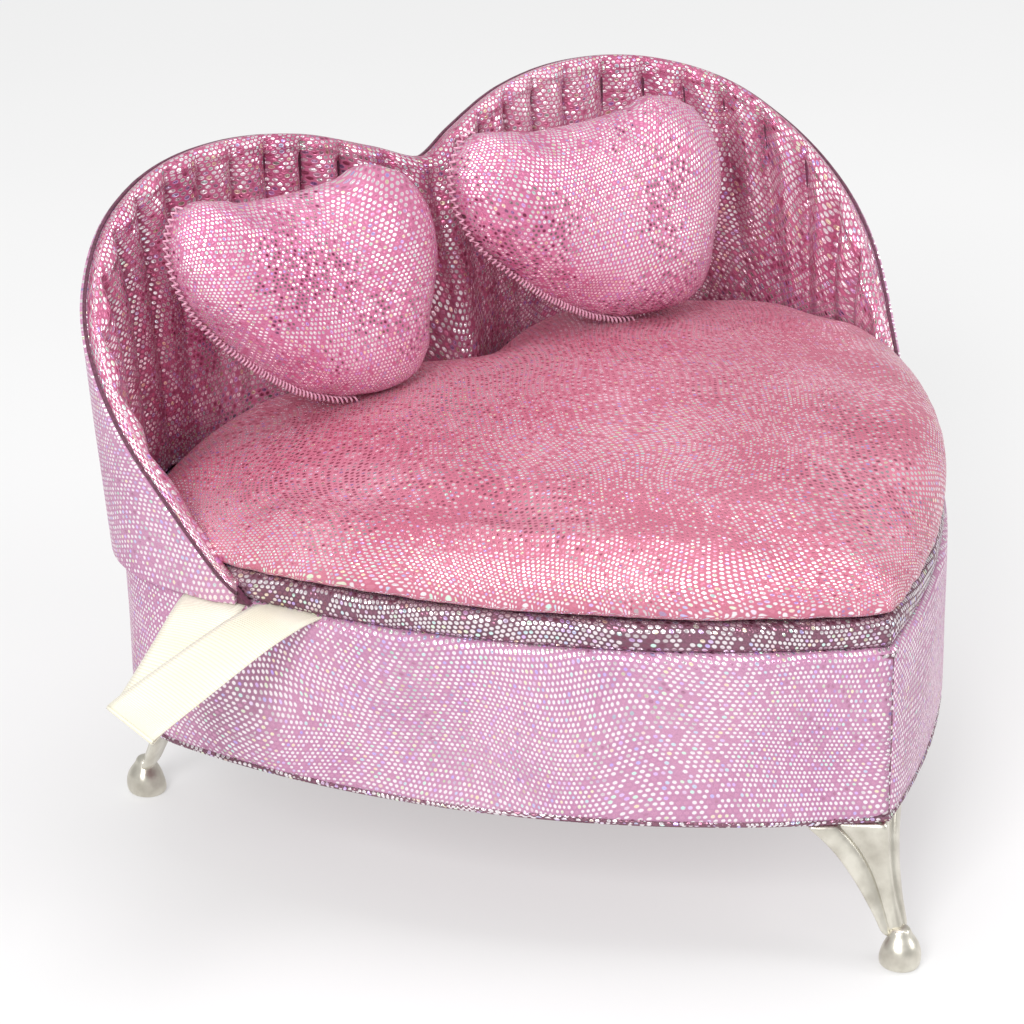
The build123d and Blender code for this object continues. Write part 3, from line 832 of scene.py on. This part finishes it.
def hoof_piece(name, centre, out):
    """Bulging toe with a flat sole and a scooped heel."""
    top = BASE_Z * 0.29
    profile = [(0.0, 0.0), (0.0040, 0.0), (0.0047, 0.0004), (0.0051, 0.0020), (0.0051, 0.0042),
               (0.0045, 0.0060), (0.0035, 0.0073), (0.0028, 0.0084), (0.0024, top)]
    bm = turned([(radius, 0, z) for radius, z in profile], (0, 0, 0), (0, 0, 1), 28)
    turn = Matrix.Rotation(math.atan2(out.y, out.x), 4, "Z")
    for v in bm.verts:
        forward = v.co.x / 0.0051
        lift = smooth(v.co.z / 0.004)
        if forward > 0:
            v.co.x *= 1.0 + 0.10 * (1 - v.co.z / top)
        else:
            v.co.x *= 1.0 - 0.22 * lift
            if v.co.z > 0.003:
                v.co.z -= 0.0010 * smooth(-forward) * lift
        v.co.y *= 0.96
    bmesh.ops.transform(bm, matrix=Matrix.Translation((centre.x, centre.y, 0)) @ turn, verts=bm.verts[:])
    obj = piece(name, bm, PEWTER)
    rounded(obj, 2)
    return obj


FRONT_WING, REAR_WING = math.radians(52), math.radians(66)
REAR_LEG_ALONG = 0.04305    # from the lobe's crown, along its arc


def legs():
    tip = Vector((0, TIP_Y + 0.0002))
    casting("front_leg_casting", "leg_front", tip, -math.pi / 2, FRONT_WING)
    centre, radius = CIRCLES[1]
    angle = math.pi / 2 - REAR_LEG_ALONG / radius
    rear = centre + (radius - 0.0006) * Vector((math.cos(angle), math.sin(angle)))
    casting("right_leg_casting", "leg_right", rear, angle, REAR_WING)
    casting("left_leg_casting", "leg_left", Vector((-rear.x, rear.y)), math.pi - angle, REAR_WING)


# lid ------------------------------------------------------------------------

def lid_band():
    """Knit wrapped over the edge of the seat board: in on top, round the edge, and back in below."""
    soft = 0.0021
    inwards = 0.016
    low = SEAM_Z + 0.0001
    side = LID_TOP_Z - low - 2 * soft
    turn = soft * math.pi / 2

    def place(u, t):
        s = (2 * u - 1) * HALF_LENGTH
        path = t * (2 * inwards + 2 * turn + side)
        if path < inwards:
            grow, z = -soft - inwards + path, LID_TOP_Z
        elif path < inwards + turn:
            angle = (path - inwards) / soft
            grow, z = -soft + soft * math.sin(angle), LID_TOP_Z - soft + soft * math.cos(angle)
        elif path < inwards + turn + side:
            grow, z = 0.0, LID_TOP_Z - soft - (path - inwards - turn)
        elif path < inwards + 2 * turn + side:
            angle = (path - inwards - turn - side) / soft
            grow, z = -soft + soft * math.cos(angle), low + soft - soft * math.sin(angle)
        else:
            grow, z = -soft - (path - inwards - 2 * turn - side), low
        slack = 0.00035 * ripple(s * 70, path * 60, 11)
        edge = smooth(1 - abs(grow) / 0.005)
        return at(s, grow - 0.0008 + slack * edge, z + slack * 0.5 * edge), (s, path)

    obj = shaped("seat_board_fabric", BAND_KNIT, 260, 44, place, merged)
    thicken(obj, 0.0005, 0.0)
    settle(obj, "lid", "lid_board_cover")


def backrest_shell():
    """Outer board of the back and arms in lilac knit, leaning out with height."""
    def place(u, t):
        s = (2 * u - 1) * ARM_END
        z = t * (rise(s) - 0.0008)
        end = smooth((abs(s) - ARM_END + 0.006) / 0.006)
        sag = 0.00012 * ripple(s * 50, z * 50, 21)
        return at(s, OVERLAP + FLARE * z - end * 0.0012 + sag, SEAM_Z + z + 0.0002), (s, z)

    obj = shaped("back_outer_fabric", LILAC, 190, 30, place, finish=facing_out)
    thicken(obj, PANEL)
    add_modifier(obj, "BEVEL", width=0.0005, segments=3, limit_method="ANGLE")
    settle(obj, "lid", "back_outer_panel")


def edge_binding():
    """Thin plum binding in the groove between the outer board and the padding."""
    radius = 0.00048

    def place(u, t):
        s = (2 * u - 1) * (ARM_END + 0.0006)
        angle = t * 2 * math.pi
        z = rise(s) - 0.0002
        wave = 0.0001 * ripple(s * 300, 2, 9)
        grow = OVERLAP + FLARE * z - 0.0011 + radius * math.cos(angle) + wave
        return at(s, grow, SEAM_Z + z + radius * math.sin(angle)), (s, radius * angle)

    obj = shaped("back_edge_binding", BINDING_AND_SEAM_SHADE, 260, 9, place, lambda bm: close_up(bm, sides=12))
    settle(obj, "lid", "back_piping")


GATHER_PITCH = 0.0105
GATHER_DEPTH = 0.0056


def gathers(s, depth):
    """How far the gathers stand out at length s, depth metres below the rolled edge."""
    lively = 0.85 + 0.5 * ripple(s * 24, 0, 31)
    lean = 0.30 * depth * ripple(s * 14, 4, 0)
    phase = (s + lean) / GATHER_PITCH + 0.35 * ripple(s * 22, 0, 8)
    crease = abs(math.sin(math.pi * phase))**0.85 - 0.70
    start = smooth(depth / 0.007)
    reach = 0.034 + 0.018 * ripple(round(phase) * 3.7, 1, 2)
    fade = math.exp(-(max(0.0, depth - 0.008) / reach)**1.6)
    return start * lively * GATHER_DEPTH * crease * fade


def back_padding():
    """Padding inside the back: rolled top, gathers fanning down, thick at the notch."""
    roll = 0.0028

    def place(u, t):
        s = (2 * u - 1) * (ARM_END - 0.0004)
        top = rise(s) + 0.0009
        outer = OVERLAP - PANEL * 0.62
        foot = min(LID_TOP_Z - SEAM_Z + 0.0003, top * 0.3)
        height = top - foot
        thin = 0.55 + 0.45 * smooth(height / 0.02)
        radius = roll * thin
        notch = math.exp(-(abs(s) / 0.021)**2)
        if t < 0.22:
            z = foot + (height - radius) * t / 0.22
            inwards, down = 0.0, height
        elif t < 0.44:
            angle = math.pi * (t - 0.22) / 0.22
            z = top - radius + radius * math.sin(angle)
            inwards = radius * (1 - math.cos(angle)) * PAD / (2 * roll)
            down = radius * max(0.0, angle - math.pi / 2)
        elif t < 0.92:
            share = (t - 0.44) / 0.48
            z = top - radius - (height - radius) * share
            down = radius + (height - radius) * share
            inwards = PAD * thin
        else:
            share = (t - 0.92) / 0.08
            z, inwards, down = foot, PAD * thin * (1 - share), height
        if t >= 0.33:
            share = min(1.0, down / max(height, 1e-4))
            swell = 0.0012 * math.sin(math.pi * share)
            wave = 0.0009 * ripple(s * 45, z * 22, 15) * smooth(share * 3)
            fold = gathers(s, down) * smooth(height / 0.03)
            inside = 1 - smooth((t - 0.92) / 0.08)
            inwards += inside * (swell + wave + fold + notch * (0.0015 + 0.0115 * share**1.1))
        lean = FLARE * max(0.0, z)
        return at(s, outer + lean - inwards, SEAM_Z + z), (s, -down - (0.0 if t > 0.33 else 0.1 * t))

    def ease_notch(bm):
        close_up(bm, sides=120)
        soften(bm, [v for v in bm.verts if abs(v.co.x) < 0.006], 6, level=True)

    obj = shaped("back_padding", ROSE_SILVER, 620, 84, place, ease_notch)
    settle(obj, "lid", "back_pad")


# cushions -------------------------------------------------------------------

def coordinates(mesh):
    data = np.empty(len(mesh.vertices) * 3, np.float32)
    mesh.vertices.foreach_get("co", data)
    return data.reshape(-1, 3)


def apply_modifiers(obj):
    graph = bpy.context.evaluated_depsgraph_get()
    mesh = bpy.data.meshes.new_from_object(obj.evaluated_get(graph))
    obj.modifiers.clear()
    old = obj.data
    obj.data = mesh
    bpy.data.meshes.remove(old)


def remesh(obj, size):
    add_modifier(obj, "REMESH", mode="VOXEL", voxel_size=size)
    apply_modifiers(obj)


def inflate(obj, pressure, frames, cap, enlarge=4.0, held=None, shrink=0.0, bending=0.4):
    """Blows up a sewn cover with the cloth solver, caps each point's travel and keeps the result."""
    rest = coordinates(obj.data)
    obj.data.transform(Matrix.Scale(enlarge, 4))
    if held is not None:
        group = obj.vertex_groups.new(name="held")
        group.add(held, 1.0, "REPLACE")
    modifier = obj.modifiers.new("cover", "CLOTH")
    cloth = modifier.settings
    cloth.quality = 7
    cloth.mass = 0.12
    cloth.use_pressure = True
    cloth.uniform_pressure_force = pressure
    cloth.effector_weights.gravity = 0.0
    cloth.tension_stiffness = 18
    cloth.compression_stiffness = 10
    cloth.shear_stiffness = 6
    cloth.bending_stiffness = bending
    cloth.shrink_min = shrink
    cloth.air_damping = 4.0
    if held is not None:
        cloth.vertex_group_mass = "held"
    modifier.collision_settings.use_collision = False
    scene = bpy.context.scene
    scene.frame_start, scene.frame_end = 1, frames
    modifier.point_cache.frame_start, modifier.point_cache.frame_end = 1, frames
    for number in range(1, frames + 1):
        scene.frame_set(number)
    graph = bpy.context.evaluated_depsgraph_get()
    moved = coordinates(obj.evaluated_get(graph).data) / enlarge
    obj.modifiers.clear()
    travel = moved - rest
    far = np.linalg.norm(travel, axis=1, keepdims=True)
    travel *= np.minimum(1.0, cap / np.maximum(far, 1e-9))
    obj.data.vertices.foreach_set("co", (rest + travel).astype(np.float32).ravel())
    obj.data.update()
    scene.frame_set(1)


def ease(obj, rounds):
    bm = bmesh.new()
    bm.from_mesh(obj.data)
    soften(bm, bm.verts[:], rounds)
    bm.to_mesh(obj.data)
    bm.free()


CROWN_RADIUS = 0.46
CROWN_Y = -0.040
CROWN_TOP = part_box("seat_cushion")[1].z


def crown(x, y):
    """Height of the seat's dome."""
    return CROWN_TOP - CROWN_RADIUS + math.sqrt(CROWN_RADIUS**2 - x * x - (y - CROWN_Y)**2)


def seat_edge(s):
    """How far the cushion stays inside the heart: close to it in front, within the padding behind."""
    arms = smooth((ARM_END - 0.010 - abs(s)) / 0.022)
    notch = math.exp(-(abs(s) / 0.024)**2)
    return 0.0012 - 0.0066 * arms - 0.009 * notch


def seat_cushion():
    """Deep foam seat under knit: bulging side, rounded shoulder, low dome."""
    profile = [(0.0, -0.0004), (0.12, 0.0), (0.30, 0.0002), (0.52, -0.0003), (0.70, -0.0016),
               (0.84, -0.0038), (0.94, -0.0072), (1.0, -0.0120)]

    def place(u, t):
        s = (2 * u - 1) * HALF_LENGTH
        point, _ = spot(s, seat_edge(s) + through(profile, t))
        top = crown(point.x, point.y)
        z = CUSHION_Z + 0.0002 + (top - CUSHION_Z) * t**0.92
        return Vector((point.x, point.y, z)), (0, 0)

    obj = shaped("seat_cushion_cover", ROSE, 200, 14, place, lambda bm: close_up(bm, 1e-5, 500))
    remesh(obj, 0.0036)
    for v in obj.data.vertices:
        dome = crown(v.co.x, v.co.y)
        inside = smooth((-length_at(v.co.x, v.co.y)[1] - 0.014) / 0.016)
        if v.co.z > CUSHION_Z + 0.008 and inside > 0:
            v.co.z += (dome - v.co.z) * inside
    obj.data.update()
    ease(obj, 1)
    held = [v.index for v in obj.data.vertices if v.co.z < CUSHION_Z + 0.0012]
    inflate(obj, 2.5, 14, 0.0012, held=held)
    ease(obj, 1)
    for v in obj.data.vertices:
        v.co.z = max(v.co.z, CUSHION_Z + 0.0001)
        s, _ = length_at(v.co.x, v.co.y)
        foot = smooth(1 - (v.co.z - CUSHION_Z) / 0.008)
        front = smooth((abs(s) - ARM_END) / 0.03)
        v.co.z += foot * front * (0.0004 + 0.0006 * ripple(s * 28, 0, 3))
    obj.data.update()
    rounded(obj)
    apply_modifiers(obj)
    obj.data.shade_smooth()
    seat_cloth(obj)
    settle(obj, "lid", "seat_cushion")


def lay_cloth(mesh, spots):
    """Writes each point's place on the cloth."""
    layer = mesh.uv_layers.get("UVMap") or mesh.uv_layers.new(name="UVMap")
    values = np.array([spots[loop.vertex_index] for loop in mesh.loops], np.float32)
    layer.data.foreach_set("uv", values.ravel())


def seat_cloth(obj):
    """Cloth position on the seat: level over the dome, pulled down over the shoulder."""
    mesh = obj.data
    spots = []
    for v in mesh.vertices:
        out = Vector((v.normal.x, v.normal.y))
        drop = max(0.0, crown(v.co.x, v.co.y) - v.co.z)
        spots.append((v.co.x + out.x * drop * 1.1, v.co.y + out.y * drop * 1.1))
    lay_cloth(mesh, spots)


PILLOW_Y, PILLOW_Z = 0.011, 0.131
PILLOW_LEAN = math.radians(16)
SEAM_ALLOWANCE = 0.965      # share of the pattern left once its edge is sewn
PILLOW_PATTERN = (          # the heart as it sits, point a little to the right, in millimetres
    (4.6, 27.6), (16.0, 28.4), (27.6, 29.0), (37.6, 22.6), (42.6, 11.4), (41.6, -0.5), (37.2, -12.4),
    (33.4, -22.4), (25.8, -29.0), (13.2, -30.8), (-2.0, -27.2), (-15.4, -18.6), (-26.6, -7.2),
    (-33.8, 3.8), (-35.8, 14.4), (-34.4, 24.0), (-26.8, 29.4), (-9.6, 28.4),
)


def pillow_outline(stretch, steps=6):
    """Smooth closed line through the pattern's points, in metres."""
    count = len(PILLOW_PATTERN)
    line = []
    for number in range(count):
        a, b, c, d = (Vector(PILLOW_PATTERN[(number + k) % count]) for k in (-1, 0, 1, 2))
        for step in range(steps):
            t = step / steps
            p = curve_point(a, b, c, d, t)
            line.append((p.x * stretch / 1000 * SEAM_ALLOWANCE, p.y / 1000 * SEAM_ALLOWANCE))
    return line


def pillow(name, node_name, across, stretch, seed):
    """Two heart-shaped pieces of knit, sewn round the edge, turned and stuffed."""
    line = pillow_outline(stretch)
    bm = bmesh.new()
    ring = [bm.verts.new((x, 0, z)) for x, z in line]
    for first, second in zip(ring, ring[1:] + ring[:1]):
        bm.edges.new((first, second))
    face = bmesh.ops.contextual_create(bm, geom=bm.edges[:])["faces"]
    lifted = bmesh.ops.extrude_face_region(bm, geom=face)
    moved = [item for item in lifted["geom"] if isinstance(item, bmesh.types.BMVert)]
    bmesh.ops.translate(bm, verts=moved, vec=(0, 0.005, 0))
    bmesh.ops.translate(bm, verts=bm.verts[:], vec=(0, -0.0025, 0))
    bmesh.ops.recalc_face_normals(bm, faces=bm.faces[:])
    obj = piece(name, bm, PILLOW_KNIT)
    remesh(obj, 0.0020)
    plump(obj, line)
    inflate(obj, 5.0, 20, 0.0024, enlarge=6.0, bending=0.25)
    ease(obj, 2)
    pucker(obj, line, seed)
    rounded(obj)
    apply_modifiers(obj)
    obj.data.shade_smooth()
    pillow_cloth(obj, seed)
    stitches = overlock(name + "_stitching", obj)
    centre = Vector((across, PILLOW_Y, PILLOW_Z))
    stand = Matrix.Translation(centre) @ Matrix.Rotation(-PILLOW_LEAN, 4, "X")
    for part in (obj, stitches):
        part.data.transform(stand)
        part.data.update()
        settle(part, "lid")
    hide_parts(node_name)


def seam_gaps(edge, vertex):
    """Distances from a point to every stitch of the sewn edge."""
    return np.sqrt(((edge - np.array([vertex.co.x, vertex.co.z]))**2).sum(axis=1))


def plump(obj, line):
    """Stuffs the flat heart before the cover is blown up, fullest in the middle."""
    edge = np.array(line)
    for v in obj.data.vertices:
        share = min(1.0, seam_gaps(edge, v).min() / 0.024)
        full = 0.0092 * (1 - (1 - share)**2)**0.5
        v.co.y = math.copysign(0.0006 + full * min(1.0, abs(v.co.y) / 0.0024), v.co.y)
    obj.data.update()


def pucker(obj, line, seed):
    """Small gathers that run in from the sewn edge."""
    edge = np.array(line)
    for v in obj.data.vertices:
        gaps = seam_gaps(edge, v)
        place = int(gaps.argmin())
        fade = math.exp(-(gaps[place] / 0.0055)**2)
        wave = ripple(place * 0.55, seed * 9, 0) + 0.6 * math.sin(place * 1.9 + seed)
        v.co.y += math.copysign(0.0007 * wave * fade, v.co.y)
    obj.data.update()


def pillow_cloth(obj, seed):
    mesh = obj.data
    depth = max(abs(v.co.y) for v in mesh.vertices)
    spots = []
    for v in mesh.vertices:
        out = Vector((v.normal.x, v.normal.z))
        fall = depth - abs(v.co.y)
        spots.append((v.co.x + out.x * fall * 0.7 + seed, v.co.z + out.y * fall * 0.7))
    lay_cloth(mesh, spots)


def overlock(name, cover):
    """Zigzag of thread over the sewn edge, on the side and point of the heart."""
    co = coordinates(cover.data)
    rim = co[np.abs(co[:, 1]) < 0.0012]
    angles = np.arctan2(rim[:, 0], rim[:, 2])
    radii = np.hypot(rim[:, 0], rim[:, 2])
    curve = bpy.data.curves.new(name, "CURVE")
    curve.dimensions = "3D"
    curve.bevel_depth = 0.00024
    curve.bevel_resolution = 1
    curve.resolution_u = 2
    first, last = math.radians(-200), math.radians(-45)
    count = 62
    points = []
    for number in range(count * 4):
        share = number / (count * 4)
        angle = first + (last - first) * share
        wrapped = math.atan2(math.sin(angle), math.cos(angle))
        gap = np.abs(np.angle(np.exp(1j * (angles - wrapped))))
        near = gap < 0.05
        radius = float(np.max(radii[near])) if near.any() else 0.03
        swing = number % 4
        out = 0.0002 + (0.0016 if swing == 2 else 0.0)
        depth = (0.0011, 0.0004, 0.0, -0.0009)[swing]
        wide = radius + out - (0.0004 if swing in (0, 3) else 0)
        points.append((wide * math.sin(angle), depth, wide * math.cos(angle)))
    spline = curve.splines.new("NURBS")
    spline.points.add(len(points) - 1)
    for item, place in zip(spline.points, points):
        item.co = (*place, 1)
    spline.order_u = 3
    spline.use_endpoint_u = True
    holder = bpy.data.objects.new(name + "_line", curve)
    bpy.context.collection.objects.link(holder)
    graph = bpy.context.evaluated_depsgraph_get()
    mesh = bpy.data.meshes.new_from_object(holder.evaluated_get(graph))
    bpy.data.objects.remove(holder)
    mesh.name = name
    mesh.materials.clear()
    mesh.materials.append(PINK_THREAD)
    mesh.shade_smooth()
    obj = bpy.data.objects.new(name, mesh)
    bpy.context.collection.objects.link(obj)
    return obj


# ribbon ---------------------------------------------------------------------

def ribbon():
    """Loop of grosgrain: out from under the seat, down and back, and in again under the arm.

    The upper strand is tacked to the lid and the lower one to the box; the fold joins them.
    """
    z = RIM_Z + 0.00015
    # back and front edge, from the end under the seat, round the fold, to the end under the arm
    stations = [
        ((-0.0850, -0.0305, z), (-0.0835, -0.0465, z)),
        ((-0.0942, -0.0314, z), (-0.0927, -0.0474, z)),
        ((-0.1000, -0.0319, z - 0.0002), (-0.0984, -0.0479, z - 0.0008)),
        ((-0.1090, -0.0328, z - 0.0017), (-0.1070, -0.0486, z - 0.0030)),
        ((-0.1231, -0.0340, z - 0.0056), (-0.1209, -0.0498, z - 0.0078)),
        ((-0.1351, -0.0351, z - 0.0091), (-0.1329, -0.0509, z - 0.0120)),
        ((-0.1401, -0.0354, z - 0.0110), (-0.1380, -0.0512, z - 0.0140)),
        ((-0.1392, -0.0346, z - 0.0122), (-0.1372, -0.0503, z - 0.0151)),
        ((-0.1335, -0.0309, z - 0.0112), (-0.1295, -0.0461, z - 0.0132)),
        ((-0.1213, -0.0238, z - 0.0060), (-0.1147, -0.0382, z - 0.0072)),
        ((-0.1120, -0.0184, z - 0.0016), (-0.1040, -0.0322, z - 0.0018)),
        ((-0.1055, -0.0147, z), (-0.0975, -0.0285, z)),
        ((-0.0990, -0.0110, z), (-0.0910, -0.0248, z)),
    ]
    width = 0.016
    columns = len(stations) - 1

    def between(t, pick):
        number = min(columns - 1, int(t * columns))
        share = t * columns - number
        rows = [Vector(stations[min(columns, max(0, number + k))][pick]) for k in (-1, 0, 1, 2)]
        return curve_point(*rows, share)

    def middle(number):
        return (Vector(stations[number][0]) + Vector(stations[number][1])) / 2

    def length(first, last):
        return sum((middle(k + 1) - middle(k)).length for k in range(first, last))

    def strand(name, first, last, rows, crown):
        """One stretch of the ribbon, between two of its stations."""
        def place(u, t):
            along = (first + (last - first) * t) / columns
            point = between(along, 0).lerp(between(along, 1), u)
            point.z += crown * math.sin(math.pi * u) * math.sin(math.pi * t)**2
            return point, (u * width, length(0, first) + t * length(first, last))

        obj = shaped(name, RIBBON, 9, rows, place, one_way)
        thicken(obj, 0.0003, 0.0)
        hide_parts("ribbon_stay")
        return obj

    turn = 6
    upper = strand("ribbon_upper", 0, turn, 60, 0.0007)
    fold = strand("ribbon_fold", turn, turn + 1, 24, 0.0)
    lower = strand("ribbon_lower", turn + 1, columns, 50, 0.0007)
    length(0, turn + 1)
    length(turn + 1, columns)
    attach(upper, "lid")
    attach(lower, "box")
    across = (Vector(stations[turn][1]) - Vector(stations[turn][0])).normalized()
    step = middle(turn) - middle(turn + 1)
    step -= across * step.dot(across)
    middle(turn + 1)
    middle(turn + 1) + step
    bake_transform(fold)


# inside and hardware --------------------------------------------------------

def interior():
    for name, pad, grow, edge_round, body in (
            ("floor_cushion", "floor_pad", -0.0040, 0.0012, "box"),
            ("lid_lining_cushion", "lid_lining_pad", -0.0046, 0.0011, "lid")):
        low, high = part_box(pad)
        padded_slab(name, pad, grow, low.z, high.z, edge_round, body, LINING)
    for name, board in (("cross_divider", "divider_cross"), ("middle_divider", "divider_middle")):
        rounded_block(name, board, LINING, 0.0010)
    ring_rolls()


def mirror_trim():
    """Gathered fabric trim round the mirror."""
    low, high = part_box("mirror_frame")
    middle = (low.z + high.z) / 2
    half = 0.0020

    def place(u, t):
        s = (2 * u - 1) * HALF_LENGTH
        angle = t * 2 * math.pi
        ruck = 0.00012 * math.sin(s * 2 * math.pi / 0.0021)
        z = middle + (0.00092 + ruck * 0.3) * math.sin(angle)
        return at(s, -0.0139 + (half + ruck) * math.cos(angle), z), (s, half * angle)

    obj = shaped("mirror_trim", ROSE_SILVER, 700, 9, place, close_up)
    settle(obj, "lid", "mirror_frame")


def paint_joinery():
    """Finishes of the parts that keep their joinery shape."""
    finishes = {
        BOARD: ["base_board", "wall_board", "lid_board"],
        # painted shade: the back's inner board takes the dark plum binding finish, so that where it peeks
        # between the padding and the outer board it reads as seam shadow
        BINDING_AND_SEAM_SHADE: ["back_inner_board"],
        LINING: ["wall_lining"],
        NICKEL: ["hinge_leaves_lower", "hinge_leaves_upper", "hinge_pins"],
        STEEL: ["leg_screws", "hinge_screws_lower", "hinge_screws_upper"],
        MIRROR: ["lid_mirror"],
    }
    for finish, names in finishes.items():
        for name in names:
            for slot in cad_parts[name].material_slots:
                slot.material = finish


# studio ---------------------------------------------------------------------

CAMERA_TURN = math.radians(-35.95)
CAMERA_TILT = math.radians(24.17)
CAMERA_ROLL = math.radians(-1.09)
CAMERA_DISTANCE = 0.9005
CAMERA_TARGET = Vector((0.00615, 0.01087, 0.0562))
LENS = 123.5


def camera():
    back = Vector((
        math.sin(CAMERA_TURN) * math.cos(CAMERA_TILT),
        -math.cos(CAMERA_TURN) * math.cos(CAMERA_TILT),
        math.sin(CAMERA_TILT)))
    right = Vector((math.cos(CAMERA_TURN), math.sin(CAMERA_TURN), 0))
    up = back.cross(right)
    across = right * math.cos(CAMERA_ROLL) + up * math.sin(CAMERA_ROLL)
    upward = -right * math.sin(CAMERA_ROLL) + up * math.cos(CAMERA_ROLL)
    data = bpy.data.cameras.new("camera")
    data.lens = LENS
    data.sensor_width = 36
    data.shift_x = -0.0015
    data.shift_y = 0.0037
    data.clip_start = 0.01
    obj = bpy.data.objects.new("camera", data)
    turn = Matrix((across, upward, back)).transposed().to_4x4()
    obj.matrix_world = Matrix.Translation(CAMERA_TARGET + CAMERA_DISTANCE * back) @ turn
    bpy.context.collection.objects.link(obj)
    bpy.context.scene.camera = obj


def softbox(name, place, target, size, power, colour=(1, 1, 1)):
    data = bpy.data.lights.new(name, "AREA")
    data.shape = "RECTANGLE"
    data.size, data.size_y = size
    data.energy = power
    data.color = colour
    obj = bpy.data.objects.new(name, data)
    obj.location = place
    obj.rotation_euler = (Vector(target) - Vector(place)).to_track_quat("-Z", "Y").to_euler()
    bpy.context.collection.objects.link(obj)


PAPER_GLOW = 0.47
SKY = 0.58


def studio():
    """Pale paper floor, soft sky and three softboxes."""
    bm = bmesh.new()
    bmesh.ops.create_grid(bm, x_segments=2, y_segments=2, size=6.0)
    paper = Finish("pale_paper")
    tint = paper.ramp(paper.grain(paper.place(), 3.0), (0.3, (0.40, 0.40, 0.40)), (0.7, (0.42, 0.42, 0.42)))
    paper.feed({
        "Base Color": tint, "Roughness": 1.0, "Specular IOR Level": 0.0,
        "Emission Color": (1, 1, 1, 1), "Emission Strength": PAPER_GLOW,
    })
    floor = piece("floor", bm, paper.material)
    world = bpy.data.worlds.new("studio")
    world.use_nodes = True
    sky = world.node_tree.nodes["Background"]
    sky.inputs["Color"].default_value = (1, 1, 1, 1)
    sky.inputs["Strength"].default_value = SKY
    bpy.context.scene.world = world
    softbox("key", (-1.15, -0.80, 0.95), (0, -0.02, 0.08), (0.6, 0.6), 18)
    softbox("fill", (0.9, -0.9, 0.8), (0, 0, 0.08), (0.5, 0.7), 5)
    softbox("top", (0.1, -0.1, 1.5), (0, 0, 0.05), (0.8, 0.8), 7)
    bpy.context.scene.view_settings.view_transform = "Standard"
    bpy.context.scene.view_settings.look = "None"


wall_fabric()
tip_seam()
base_fabric()
hem_cord()
tip_fold()
legs()
lid_band()
backrest_shell()
edge_binding()
back_padding()
seat_cushion()
pillow("heart_pillow_left", "pillow_left", -0.055, stretch=1.0, seed=0.3)
pillow("heart_pillow_right", "pillow_right", 0.030, stretch=1.11, seed=0.7)
ribbon()
interior()
mirror_trim()
paint_joinery()
camera()
studio()
